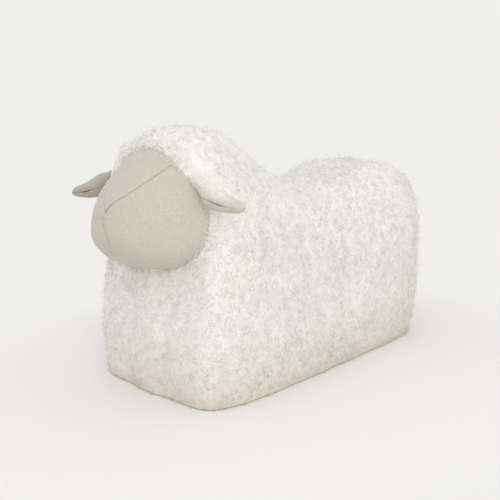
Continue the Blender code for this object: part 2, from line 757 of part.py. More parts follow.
def front_board_shape(clearance):
    """The board behind the chest, which goes on up into the head as a narrower, rounded tongue."""
    wide, neck = BOX_HALF_WIDTH + clearance, HEAD_BOARD_HALF_WIDTH + clearance
    shoulder, top = SEAT_BOARD_TOP - clearance, HEAD_BOARD_TOP + clearance
    half = [(wide, BOX_FLOOR - clearance), (wide, shoulder), (neck, shoulder)]
    for i in range(HEAD_BOARD_CORNER_STEPS + 1):
        turn = math.pi / 2 * i / HEAD_BOARD_CORNER_STEPS
        x = neck - HEAD_BOARD_CORNER * (1 - math.cos(turn))
        half.append((x, top - HEAD_BOARD_CORNER * (1 - math.sin(turn))))
    outline = half + [(-x, z) for x, z in reversed(half)]
    return prism_shape(outline, "Y", BOX_FRONT - clearance, BOX_FRONT + BOARD + clearance)


def ear_seat():
    """Middle and direction of the left ear's root seam, lying on the cover just outside the face."""
    x, z = face_outline(EAR_TURN, -EAR_SEAM_OFFSET)
    shape = body_shape(0.0)
    bmesh.ops.recalc_face_normals(shape, faces=shape.faces)
    shape.normal_update()
    place, normal, _, _ = BVHTree.FromBMesh(shape).find_nearest(Vector((x, FACE_RIM, z)))
    shape.free()
    seam = Vector(EAR_SEAM)
    seam = (seam - normal * seam.dot(normal)).normalized()
    return place + normal * (EAR_ROOT_RADIUS + EAR_CLEARANCE), seam


def ear_frame(along, seat):
    """Middle point, width direction and depth direction of an ear's section, at a share of its length."""
    root, seam = seat
    forward = Vector(EAR_DIRECTION).normalized()
    upright = (Vector((0, 0, 1)) - forward * forward.z).normalized()
    turned = smooth_step(along * EAR_TWIST_RATE)
    wide = (seam * (1 - turned) + upright * turned).normalized()
    deep = wide.cross(forward).normalized()
    if deep.y < 0:
        deep = -deep
    sag = EAR_SAG * math.sin(math.pi * along)
    middle = root + forward * EAR_LENGTH * along - upright * sag
    return middle, wide, deep


def swelling(along, shares):
    """A bulge along the ear, from one named share of half a turn over the next."""
    start, extent = shares
    return math.sin(math.pi * (start + extent * along))


def ear_section(along, near, far, seat):
    """A closed loop round one layer of the ear: its offsets from the middle surface are near and far."""
    middle, wide, deep = ear_frame(along, seat)
    half = EAR_HALF_WIDTH * (1 - EAR_TAPER * along)
    curl = max(EAR_CURL_RADIUS * swelling(along, EAR_CURL_SHARES), EAR_FABRIC + EAR_LINING)
    low = -half + curl
    path = [(half, 0.0, 0.0), ((half + low) / 2, 0.0, 0.0), (low, 0.0, 0.0)]
    for i in range(1, EAR_CURL_STEPS + 1):
        turn = math.pi * i / EAR_CURL_STEPS
        path.append((low - curl * math.sin(turn), -curl * (1 - math.cos(turn)), turn))
    lip = half * EAR_LIP_SHARE
    path.append((low + lip, -2 * curl, math.pi))
    outer, inner = [], []
    for w, d, turn in path:
        normal_w, normal_d = -math.sin(turn), math.cos(turn)
        outer.append(middle + wide * (w + normal_w * far) + deep * (d + normal_d * far))
        inner.append(middle + wide * (w + normal_w * near) + deep * (d + normal_d * near))
    return outer + inner[::-1]


def ear_layer(near, far, start, seat):
    shape = bmesh.new()
    loops = []
    for step in range(EAR_SPANS + 1):
        along = start / EAR_LENGTH + (1 - start / EAR_LENGTH) * step / EAR_SPANS
        loops.append([shape.verts.new(p) for p in ear_section(along, near, far, seat)])
    count = len(loops[0])
    for here, there in zip(loops, loops[1:]):
        for i in range(count):
            j = (i + 1) % count
            shape.faces.new((here[i], here[j], there[j], there[i]))
    shape.faces.new(loops[0])
    shape.faces.new(loops[-1])
    return shape


def ear_root_bar(seat):
    shape = bmesh.new()
    root, seam = seat
    start = root - seam * EAR_ROOT_HALF_LENGTH
    length, radius = 2 * EAR_ROOT_HALF_LENGTH, EAR_ROOT_RADIUS
    end = radius * EAR_BAR_END_SHARE
    profile = ((0.0, end), (end, radius), (length - end, radius), (length, end))
    add_turned(shape, start, seam, profile, EAR_BAR_SIDES)
    return shape


def make_ears(materials):
    seat = ear_seat()
    for side, name in ((1, "left"), (-1, "right")):
        mirror = Matrix.Diagonal((side, 1, 1, 1))
        layers = (
            ("ear_back_" + name, ear_layer(0.0, EAR_FABRIC, EAR_BACK_START, seat)),
            ("ear_lining_" + name, ear_layer(-EAR_LINING - GAP, -GAP, EAR_LINING_START, seat)),
        )
        root = mirror @ seat[0]
        for node, shape in layers:
            bmesh.ops.transform(shape, matrix=mirror, verts=shape.verts)
            bmesh.ops.translate(shape, vec=-root, verts=shape.verts)
            made = object_from(node, shape, materials["face"])
            made.location = root
            if node.startswith("ear_back"):
                bar = ear_root_bar(seat)
                bmesh.ops.transform(bar, matrix=mirror, verts=bar.verts)
                combine(made, object_from("ear_root_" + name, bar), "UNION")


def make_tools():
    """Cutters that several pieces share."""
    back = FACE_FILLING_BACK + GAP
    return {
        "core_hollow": object_from("core_hollow", deepened(body_shape(COVER_THICKNESS))),
        "face_opening": object_from("face_opening", face_prism(0.0, -THROUGH, BOX_FRONT + GAP)),
        "face_recess": object_from("face_recess", face_prism(0.0, -THROUGH, back)),
        "head_board_hole": object_from("head_board_hole", front_board_shape(GAP)),
    }


def centre_on_origin():
    """Hangs every piece and cutter from an empty that centres the whole length on the origin."""
    front = MUZZLE_TIP + GAP
    carrier = bpy.data.objects.new("footstool", None)
    for made in list(bpy.context.scene.collection.objects):
        made.parent = carrier
    carrier.location.y = -(front + HALF_LENGTH) / 2
    bpy.context.scene.collection.objects.link(carrier)


def main():
    clear_scene()
    materials = make_materials()
    tools = make_tools()
    make_screws(tools, materials)
    make_staples(tools, materials)
    make_cover(tools, materials)
    make_face(materials)
    make_padding(tools, materials)
    make_box(tools, materials)
    make_base(tools, materials)
    make_glides(tools, materials)
    make_ears(materials)
    centre_on_origin()


main()
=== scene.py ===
"""Looks of the lamb footstool: curly pile coat, brushed face cloth, folded ears and its underside.

Laid out as an add-on. Run as a script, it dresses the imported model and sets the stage.
"""

import json
import math

import bmesh
import bpy
import numpy as np
from bpy.props import FloatProperty, FloatVectorProperty, IntProperty, PointerProperty
from mathutils import Matrix, Vector, noise
from mathutils.bvhtree import BVHTree

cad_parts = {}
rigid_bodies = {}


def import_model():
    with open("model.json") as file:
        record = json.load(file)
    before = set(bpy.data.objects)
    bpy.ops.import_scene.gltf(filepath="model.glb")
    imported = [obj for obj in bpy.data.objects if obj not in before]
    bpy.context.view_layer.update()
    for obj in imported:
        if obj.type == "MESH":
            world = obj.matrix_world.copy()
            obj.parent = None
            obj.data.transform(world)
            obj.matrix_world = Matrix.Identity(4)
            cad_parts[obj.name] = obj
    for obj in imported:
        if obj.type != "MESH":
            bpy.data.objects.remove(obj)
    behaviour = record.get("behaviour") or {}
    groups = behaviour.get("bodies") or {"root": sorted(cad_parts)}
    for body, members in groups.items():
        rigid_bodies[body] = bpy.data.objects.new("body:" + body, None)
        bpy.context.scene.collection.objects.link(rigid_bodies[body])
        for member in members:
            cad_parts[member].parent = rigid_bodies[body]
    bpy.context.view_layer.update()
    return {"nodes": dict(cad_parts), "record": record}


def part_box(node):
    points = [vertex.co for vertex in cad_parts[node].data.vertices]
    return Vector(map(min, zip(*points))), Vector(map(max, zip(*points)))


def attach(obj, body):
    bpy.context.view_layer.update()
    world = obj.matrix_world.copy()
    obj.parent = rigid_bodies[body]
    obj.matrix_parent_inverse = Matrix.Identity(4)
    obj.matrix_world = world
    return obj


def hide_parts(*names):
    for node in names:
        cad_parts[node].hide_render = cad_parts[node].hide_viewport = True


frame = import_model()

bl_info = {
    "name": "Lamb Footstool",
    "version": (1, 0, 0),
    "blender": (4, 5, 0),
    "location": "View3D > Sidebar > Footstool",
    "description": "Dresses a lamb-shaped footstool in pile, face cloth and ears",
    "category": "Object",
}

BODY = "stool"
HEM_WIDTH = 0.026
MERGE = 0.00001
SEARCH = 0.05
SIDE_COVERS = ("cover_left_side", "cover_right_side")
STRIP_COVERS = ("cover_chest", "cover_head", "cover_back", "cover_rump")
PADS = (
    "chest_foam", "left_side_foam", "right_side_foam", "rear_foam", "head_foam", "seat_foam", "rump_foam",
    "face_filling",
)
FACE_PANELS = ("face_forehead", "face_left_cheek", "face_right_cheek")

# Face, as the solids have it
FACE_HALF_WIDTH = 0.121
FACE_CENTRE = 0.277
FACE_RISE = 0.090
FACE_DROP = 0.084
FACE_LOW_POWER = 2.7
FACE_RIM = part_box("face_filling")[1].y - 0.008
MUZZLE_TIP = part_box("face_left_cheek")[0].y
MUZZLE_LEVEL = 0.258
SIDE_STEEPNESS = 0.76
NOSE_LEVEL = 0.276
NOSE_SHIFT = 0.005
WEDGE_TOP = 0.372
WEDGE_HALF_WIDTH = 0.062
WEDGE_SHARES = (
    (0.0, 0.0), (0.10, 0.10), (0.24, 0.19), (0.42, 0.29), (0.63, 0.43), (0.79, 0.56), (0.90, 0.69),
    (0.97, 0.84), (1.00, 1.00),
)

# Section of an ear: shares of its half width upwards and of its depth forwards, from the edge of
# the upper flap, over the top, down the back and round to the edge of the lower lip
EAR_SECTION = (
    (-0.12, 0.90), (0.00, 1.02), (0.25, 0.90), (0.55, 0.60), (0.82, 0.28), (0.98, 0.05), (0.95, -0.12),
    (0.70, -0.16), (0.30, -0.12), (-0.10, -0.10), (-0.50, -0.08), (-0.85, 0.04), (-1.00, 0.36),
    (-0.96, 0.70), (-0.78, 0.96), (-0.55, 1.04), (-0.42, 0.92),
)

# Kinds of lock. Ranges of a curl's radius, turns, rise and lean in degrees; thickness, spacing and density
# as shares of the settings'; how many unlike ones there are; how they spread, and where they grow
LOCK_KINDS = {
    "": {
        "name": "lock",
        "radius": (0.0026, 0.0056), "turns": (0.4, 1.1), "rise": (0.0005, 0.0022), "lean": (2, 22),
        "thickness": 1.0, "flatness": 0.6, "count": 14, "steps": None, "spacing": 1.0, "density": 1.5,
        "spread": 0.35, "seed": 0, "where": "lock_density",
    },
    "_fuzz": {
        "name": "fuzz",
        "radius": (0.0040, 0.0085), "turns": (0.30, 0.60), "rise": (0.001, 0.004), "lean": (40, 75),
        "thickness": 0.55, "flatness": 0.8, "count": 8, "steps": 5, "spacing": 2.4, "density": 0.25,
        "spread": 0.5, "seed": 5, "where": "lock_density",
    },
    "_fringe": {
        "name": "fringe",
        "radius": (0.0045, 0.0085), "turns": (0.4, 0.8), "rise": (0.002, 0.005), "lean": (15, 60),
        "thickness": 1.2, "flatness": 0.6, "count": 8, "steps": None, "spacing": 0.55, "density": 3.5,
        "spread": 0.5, "seed": 9, "where": "lock_edge",
    },
}
FRINGED = ("shoulder", "chest", "head")
LOCK_SIDES = 3

# Distances over which the pile begins at an ear, reaches its full length away from the ears and the face,
# and is a fringe at the face
EAR_BARE = (0.001, 0.005)
EAR_SHORT = (0.006, 0.045)
FACE_SHORT = (0.004, 0.030)
FRINGE_REACH = 0.0055
FRINGE_EAR_GAP = 0.014
LOW_PILE = 0.03

# The cloths under the base: size of their cells, sag, puckers, and how far from a pin they hang free
NET_CELL = 0.009
DUST_SAG = 0.0012
DUST_PUCKER = 0.0006
HEM_PUCKER = 0.0002
PIN_REACH = (0.004, 0.034)

# Camera, as fitted to the photograph
CAMERA_PLACE = (0.739, -0.83215, 0.379)
CAMERA_TARGET = Vector((-0.0649, 0.03385, 0.17287))
CAMERA_LENS = 45.64
SKY_COLOUR = (0.99, 0.99, 1.0)


# Shader maths

class Port:
    """A value inside a material, so that sums on it read as sums and build the Math nodes."""

    def __init__(self, graph, socket):
        self.graph = graph
        self.socket = socket

    def math(self, operation, *others):
        return self.graph.node("ShaderNodeMath", {"operation": operation}, dict(enumerate((self, *others))))

    def __add__(self, other):
        return self.math("ADD", other)

    __radd__ = __add__

    def __mul__(self, other):
        return self.math("MULTIPLY", other)

    __rmul__ = __mul__

    def __sub__(self, other):
        return self.math("SUBTRACT", other)

    def __rsub__(self, other):
        return self.graph.node("ShaderNodeMath", {"operation": "SUBTRACT"}, {0: other, 1: self})

    def __truediv__(self, other):
        return self.math("DIVIDE", other)

    def clamped(self):
        return self.graph.node("ShaderNodeClamp", {}, {"Value": self})

    def between(self, low, high):
        """0 at low and 1 at high, smoothly."""
        settings = {"interpolation_type": "SMOOTHSTEP"}
        sockets = {"Value": self, "From Min": low, "From Max": high}
        return self.graph.node("ShaderNodeMapRange", settings, sockets)


class Graph:
    """One material's nodes. A node comes from its type, its settings and its sockets' values or links."""

    def __init__(self, name):
        self.material = bpy.data.materials.new(name)
        self.material.use_nodes = True
        self.tree = self.material.node_tree
        self.shader = self.tree.nodes["Principled BSDF"]

    def node(self, kind, settings=None, sockets=None, output=0):
        made = self.tree.nodes.new(kind)
        for name, value in (settings or {}).items():
            setattr(made, name, value)
        for name, value in (sockets or {}).items():
            self.feed(made.inputs[name], value)
        return Port(self, made.outputs[output])

    def feed(self, socket, value):
        if isinstance(value, Port):
            self.tree.links.new(value.socket, socket)
        elif hasattr(value, "__len__") and len(value) == 3 and socket.type == "RGBA":
            socket.default_value = (*value, 1.0)
        else:
            socket.default_value = value

    def place(self, scale=(1, 1, 1), turn=(0, 0, 0)):
        """Object coordinates, stretched and turned for a pattern with a grain."""
        spot = self.node("ShaderNodeTexCoord", output="Object")
        return self.node("ShaderNodeMapping", {}, {"Vector": spot, "Scale": scale, "Rotation": turn})

    def clouds(self, place, scale, detail=3.0, roughness=0.55, distortion=0.0):
        sockets = {"Vector": place, "Scale": scale, "Detail": detail, "Roughness": roughness}
        sockets["Distortion"] = distortion
        return self.node("ShaderNodeTexNoise", {}, sockets)

    def metres(self, axis):
        """The point's place along an axis: Z is its height over the floor, Y how far back it lies."""
        spot = self.node("ShaderNodeTexCoord", output="Object")
        return self.node("ShaderNodeSeparateXYZ", {}, {"Vector": spot}, output=axis)

    def painted(self, name):
        return self.node("ShaderNodeAttribute", {"attribute_name": name}, output="Fac")

    def mix(self, share, first, second, blend="MIX"):
        settings = {"data_type": "RGBA", "blend_type": blend}
        return self.node("ShaderNodeMix", settings, {0: share, 6: first, 7: second}, output=2)

    def finish(self, **values):
        for name, value in values.items():
            self.feed(self.shader.inputs[name.replace("_", " ").title()], value)
        return self.material

    def bump(self, height, strength, distance):
        return self.node("ShaderNodeBump", {}, {"Height": height, "Strength": strength, "Distance": distance})


# Materials

def pile_material(name, settings, strand):
    """Cream pile: a little warmer near the floor and the rump, where painted shade also makes it deeper, and
    uneven from tuft to tuft.
    """
    graph = Graph(name)
    place = graph.place()
    # Painted shade with a warmer tone: darker towards the floor and at the rear of the rump.
    low = 1 - graph.metres("Z").between(0.0, settings.warm_shade_height)
    rear = graph.metres("Y").between(0.18, 0.34)
    patch = graph.clouds(place, 14.0, 2.0).between(0.35, 0.7)
    low_rear_shade_and_warmth = (low * 0.75 + rear * 0.35 + patch * 0.15).clamped()
    colour = graph.mix(low_rear_shade_and_warmth, settings.colour, settings.low_shade_and_warm_colour)
    edge = 1 - (graph.metres("Z") + patch * 0.012).between(0.002, 0.026)
    colour = graph.mix(edge * 0.7, colour, settings.edge_colour)
    if strand:
        tone = graph.painted("strand_tone")
        colour = graph.mix(tone * 0.55, colour, settings.bright_colour)
        return graph.finish(base_color=colour, roughness=0.95)
    tuft = graph.clouds(place, 260.0, 4.0, 0.65, 0.6)
    colour = graph.mix(1 - tuft.between(0.35, 0.65) * 0.25, colour, settings.root_colour, "MULTIPLY")
    return graph.finish(base_color=colour, roughness=0.95, normal=graph.bump(tuft, 0.45, 0.003))


def face_material(name, settings, pale=None):
    """Brushed beige cloth: a fine crossed weave under short brushed fibres, with painted shade in the seams and
    creases.
    """
    graph = Graph(name)
    place = graph.place()
    patch = graph.clouds(place, 16.0, 3.0).between(0.3, 0.7)
    mottle = graph.clouds(place, 260.0, 4.0, 0.7)
    colour = graph.mix(patch, settings.colour, settings.warm_colour)
    # Paler upper side of the ears: partly a painted highlight from the light above, partly the head's wool over
    # it.
    if pale:
        colour = graph.mix(graph.painted("pale") * 0.85, colour, pale)
    grain = graph.clouds(place, 520.0, 3.0, 0.75)
    colour = graph.mix((mottle * 0.5 + grain * 0.5).between(0.38, 0.62) * 0.42, colour, settings.deep_colour)
    fleck = graph.clouds(place, 700.0, 2.0).between(0.45, 0.70)
    colour = graph.mix(fleck * 0.45, colour, settings.fleck_colour)
    # Painted shade: darker in the seams and creases of the face, and on the front of the right ear, from the
    # seam attribute.
    colour = graph.mix(graph.painted("seam") * 0.65, colour, settings.painted_shade_colour)
    weave = graph.clouds(graph.place((1.0, 1.0, 2.6), (0.4, 0.3, 0.2)), 520.0, 3.0, 0.6)
    # Bump of the cloth's brushed fibres; no colour.
    nap_and_ear_shade = graph.clouds(graph.place((2.6, 1.0, 1.0), (0.1, 0.5, 0.7)), 520.0, 3.0, 0.6)
    normal = graph.bump(weave * 0.5 + nap_and_ear_shade * 0.5 + mottle * 0.4, 0.55, 0.0012)
    return graph.finish(base_color=colour, roughness=0.92, normal=normal, sheen_weight=0.2, sheen_roughness=0.5)


def wood_material(name, colour, deep, ply):
    """Wood with grain along Y, and layers on its edges where it is plywood."""
    graph = Graph(name)
    grain = graph.clouds(graph.place((14.0, 1.2, 14.0)), 9.0, 6.0, 0.62, 0.8)
    pores = graph.clouds(graph.place((60.0, 4.0, 60.0)), 22.0, 2.0).between(0.55, 0.7)
    body = graph.mix(grain.between(0.3, 0.7), colour, deep)
    body = graph.mix(pores * 0.35, body, tuple(c * 0.5 for c in deep))
    if ply:
        layer = (graph.metres("Z") * 2 * math.pi / 0.0024).math("SINE").between(-0.2, 0.2)
        body = graph.mix(layer * 0.3, body, tuple(c * 0.65 for c in colour))
    return graph.finish(base_color=body, roughness=0.55 + grain * 0.15, normal=graph.bump(grain, 0.25, 0.0006))


def foam_material(name, colour, deep):
    graph = Graph(name)
    place = graph.place()
    cells = graph.node("ShaderNodeTexVoronoi", {}, {"Vector": place, "Scale": 620.0}, output="Distance")
    patch = graph.clouds(place, 20.0, 2.0).between(0.3, 0.7)
    body = graph.mix(patch * 0.5 + (1 - cells.between(0.1, 0.5)) * 0.3, colour, deep)
    return graph.finish(base_color=body, roughness=0.9, normal=graph.bump(cells, 0.6, 0.0008))


def lining_material(name, colour):
    """Black spun lining: a fine embossed dot grid and stray fibres."""
    graph = Graph(name)
    place = graph.place()
    cells = graph.node(
        "ShaderNodeTexVoronoi", {"feature": "F1"}, {"Vector": place, "Scale": 430.0, "Randomness": 0.15},
        output="Distance",
    )
    fibre = graph.clouds(graph.place((1.0, 9.0, 1.0), (0.0, 0.0, 0.5)), 90.0, 5.0, 0.7)
    body = graph.mix(fibre.between(0.4, 0.7) * 0.5, colour, tuple(c * 2.6 for c in colour))
    return graph.finish(base_color=body, roughness=0.85, normal=graph.bump(cells + fibre * 0.5, 0.5, 0.0006))


def glide_material(name):
    graph = Graph(name)
    scuff = graph.clouds(graph.place((1.0, 7.0, 1.0)), 120.0, 5.0, 0.7).between(0.52, 0.72)
    body = graph.mix(scuff * 0.4, (0.018, 0.018, 0.019), (0.09, 0.09, 0.09))
    grain = graph.clouds(graph.place(), 1400.0, 2.0)
    return graph.finish(base_color=body, roughness=0.38 + scuff * 0.3, normal=graph.bump(grain, 0.15, 0.0002))


def zinc_material(name):
    graph = Graph(name)
    cloud = graph.clouds(graph.place(), 160.0, 4.0, 0.65)
    body = graph.mix(cloud.between(0.3, 0.7), (0.62, 0.62, 0.64), (0.48, 0.47, 0.44))
    return graph.finish(base_color=body, roughness=0.28 + cloud * 0.25, metallic=1.0)


# Meshes

def merged_copy(node):
    """A node's loose triangles as one joined surface."""
    shape = bmesh.new()
    shape.from_mesh(frame["nodes"][node].data)
    bmesh.ops.remove_doubles(shape, verts=shape.verts, dist=MERGE)
    return shape


def joined_copy(nodes):
    """Several nodes' surfaces in one bmesh, each of them merged."""
    shape = bmesh.new()
    for node in nodes:
        part = merged_copy(node)
        holder = bpy.data.meshes.new("holder")
        part.to_mesh(holder)
        part.free()
        shape.from_mesh(holder)
        bpy.data.meshes.remove(holder)
    return shape


def piece_from(name, shape, material, smooth=True):
    """Turns a bmesh into an object at the origin."""
    mesh = bpy.data.meshes.new(name)
    for face in shape.faces:
        face.smooth = smooth
    shape.to_mesh(mesh)
    shape.free()
    mesh.materials.append(material)
    piece = bpy.data.objects.new(name, mesh)
    bpy.context.scene.collection.objects.link(piece)
    return piece


def applied(piece):
    """Replaces a piece's mesh by what its modifiers make of it."""
    graph = bpy.context.evaluated_depsgraph_get()
    mesh = bpy.data.meshes.new_from_object(piece.evaluated_get(graph))
    piece.modifiers.clear()
    piece.data = mesh
    return piece


def evened(piece, voxel, steps):
    """Remeshes a piece on an even grid and smooths it."""
    even = piece.modifiers.new("even", "REMESH")
    even.mode = "VOXEL"
    even.voxel_size = voxel
    relax = piece.modifiers.new("relax", "SMOOTH")
    relax.factor = 0.5
    relax.iterations = steps
    return applied(piece)


def thicken(piece, thickness):
    """Gives a skin its thickness, inwards."""
    wall = piece.modifiers.new("thickness", "SOLIDIFY")
    wall.thickness = thickness
    wall.offset = -1.0


def stand_for(piece, node, body=BODY):
    """Puts a piece in a node's place, on a body."""
    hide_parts(node)
    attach(piece, body)


def slice_at(shape, axis, value, side=1, clear=False):
    """Cuts a shape across an axis. Clear drops what lies on the side that side points to."""
    normal, place = Vector((0, 0, 0)), Vector((0, 0, 0))
    normal[axis] = side
    place[axis] = value
    geometry = [*shape.verts, *shape.edges, *shape.faces]
    bmesh.ops.bisect_plane(
        shape, geom=geometry, dist=MERGE, plane_co=place, plane_no=normal, clear_outer=clear
    )


def paint(piece, name, values):
    layer = piece.data.attributes.get(name) or piece.data.attributes.new(name, "FLOAT", "POINT")
    layer.data.foreach_set("value", np.asarray(values, np.float32))


def points_of(mesh):
    found = np.empty(len(mesh.vertices) * 3, np.float32)
    mesh.vertices.foreach_get("co", found)
    return found.reshape(-1, 3).astype(float)


def surface_tree(nodes):
    """A search tree over the surfaces of several nodes."""
    shape = bmesh.new()
    for node in nodes:
        shape.from_mesh(frame["nodes"][node].data)
    tree = BVHTree.FromBMesh(shape)
    shape.free()
    return tree


def smooth_step(value, low, high):
    share = np.clip((value - low) / (high - low), 0.0, 1.0)
    return share * share * (3 - 2 * share)


# Coat

def body_skin(settings):
    """The whole padded body's outer skin: the nodes under the pile, remeshed as one and smoothed."""
    shape = joined_copy((*SIDE_COVERS, *STRIP_COVERS, *PADS, *FACE_PANELS, "base_board", "front_board"))
    skin = evened(piece_from("body_skin", shape, None), settings.voxel, settings.relax_steps)
    shape = bmesh.new()
    shape.from_mesh(skin.data)
    bpy.data.objects.remove(skin)
    keep_largest(shape)
    return shape


def keep_largest(shape):
    """Drops the islands inside the skin, such as the hollow of the box."""
    left = set(shape.verts)
    islands = []
    while left:
        front = [left.pop()]
        island = set(front)
        while front:
            for edge in front.pop().link_edges:
                for vert in edge.verts:
                    if vert not in island:
                        island.add(vert)
                        front.append(vert)
        left -= island
        islands.append(island)
    islands.sort(key=len, reverse=True)
    spare = [vert for island in islands[1:] for vert in island]
    bmesh.ops.delete(shape, geom=spare, context="VERTS")


def open_skin(shape, settings):
    """Takes away the underside and the face, but for a narrow edge that the pile overlaps."""
    face = surface_tree(FACE_PANELS)
    cover = surface_tree((*SIDE_COVERS, *STRIP_COVERS))
    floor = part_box("base_board")[1].z
    shape.normal_update()
    spare = []
    for part in shape.faces:
        spot = part.calc_center_median()
        if spot.z < floor and part.normal.z < -0.3:
            spare.append(part)
        elif spot.y < -0.2 and spot.z > 0.15:
            to_face = face.find_nearest(spot, SEARCH)[3]
            to_cover = cover.find_nearest(spot, SEARCH)[3]
            if to_face is not None and (to_cover is None or to_face + settings.face_overlap < to_cover):
                spare.append(part)
    bmesh.ops.delete(shape, geom=spare, context="FACES")
    loose = [vert for vert in shape.verts if not vert.link_faces]
    bmesh.ops.delete(shape, geom=loose, context="VERTS")


def drop_edge(shape):
    """Draws the lower edge of the skin down over the hem, almost to the floor."""
    low = [edge for edge in shape.edges if edge.is_boundary and max(v.co.z for v in edge.verts) < 0.05]
    drawn = bmesh.ops.extrude_edge_only(shape, edges=low)["geom"]
    for vert in drawn:
        if isinstance(vert, bmesh.types.BMVert):
            vert.co.z = 0.0015


def tuft(spot):
    """Unevenness of the coat, from broad tufts to single locks, between about -1 and 1."""
    broad = noise.noise(spot * 24.0)
    middle = noise.noise(spot * 62.0 + Vector((5, 1, 3)))
    fine = noise.noise(spot * 170.0 + Vector((2, 7, 4)))
    return 0.55 * broad + 0.45 * middle + 0.25 * fine


def sink_skin(shape, settings):
    """Moves the skin in under the locks, and makes it uneven. The lower edge keeps its height."""
    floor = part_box("cover_hem")[0].z
    shape.normal_update()
    moves = [(vert, vert.normal.copy()) for vert in shape.verts]
    for vert, normal in moves:
        depth = settings.pile_depth - settings.tuft_height * tuft(vert.co)
        depth += settings.tuck * max(1 - vert.co.z / 0.045, 0.0) ** 2
        vert.co -= normal * depth
        vert.co.z = max(vert.co.z, floor)
    drop_edge(shape)


def cut_to(shape, low, high):
    """Keeps what lies between two corners."""
    for axis in range(3):
        for limit, side in ((low[axis], -1), (high[axis], 1)):
            if limit is not None:
                slice_at(shape, axis, limit, side, clear=True)


def coat_panels():
    """(name, nodes it stands for, low corner, high corner) of each panel of the coat."""
    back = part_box("cover_back")
    seam, nape = back[1].x, back[0].y
    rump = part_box("cover_rump")[0].y
    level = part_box("cover_chest")[1].z
    return (
        ("coat_left_side", "cover_left_side", (seam, None, None), (None, None, None)),
        ("coat_right_side", "cover_right_side", (None, None, None), (-seam, None, None)),
        ("coat_chest", "cover_chest", (-seam, None, None), (seam, nape, level)),
        ("coat_head", "cover_head", (-seam, None, level), (seam, nape, None)),
        ("coat_back", "cover_back", (-seam, nape, None), (seam, rump, None)),
        ("coat_rump", "cover_rump", (-seam, rump, None), (seam, None, None)),
    )


def make_coat(settings):
    """The backing of the pile, as six panels that follow the seams of the cover."""
    material = pile_material("cream_pile_backing", settings, strand=False)
    skin = body_skin(settings)
    open_skin(skin, settings)
    sink_skin(skin, settings)
    for name, node, low, high in coat_panels():
        shape = skin.copy()
        cut_to(shape, low, high)
        for edge in shape.edges:
            edge.smooth = not edge.is_boundary
        panel = piece_from(name, shape, material)
        thicken(panel, settings.backing)
        stand_for(panel, node)
    skin.free()


# Pile

def lock_shape(number, kind, thickness, steps):
    """One curly lock: a thin tapered tube wound round a leaning axis, from its root at the origin."""
    rng = np.random.default_rng(number)
    radius = rng.uniform(*kind["radius"])
    angle = rng.uniform(*kind["turns"]) * 2 * math.pi
    rise = rng.uniform(*kind["rise"])
    lean = math.radians(rng.uniform(*kind["lean"]))
    axis = Vector((math.sin(lean), 0, math.cos(lean)))
    centre = (Vector((0, 0, 1)) - axis * axis.z).normalized() * radius
    shape = bmesh.new()
    ring = bmesh.ops.create_circle(shape, segments=LOCK_SIDES, radius=thickness / 2)["verts"]
    bmesh.ops.scale(shape, vec=(1.25, kind["flatness"], 1), verts=ring)
    tangent = axis.cross(-centre).normalized()
    turn = Matrix((axis.cross(tangent), axis, tangent)).transposed()
    bmesh.ops.rotate(shape, verts=ring, matrix=turn)
    edges = list(shape.edges)
    bmesh.ops.spin(
        shape, geom=[*ring, *edges], cent=centre, axis=axis, dvec=axis * rise / steps, angle=angle,
        steps=steps, use_duplicate=False,
    )
    shape.verts.ensure_lookup_table()
    for step in range(steps + 1):
        around = [shape.verts[step * LOCK_SIDES + i] for i in range(LOCK_SIDES)]
        middle = sum((vert.co for vert in around), Vector()) / LOCK_SIDES
        share = step / steps
        width = 1.0 - 0.75 * share ** 3
        for vert in around:
            vert.co = middle + (vert.co - middle) * width
    bmesh.ops.holes_fill(shape, edges=[edge for edge in shape.edges if edge.is_boundary])
    bmesh.ops.recalc_face_normals(shape, faces=shape.faces)
    return shape


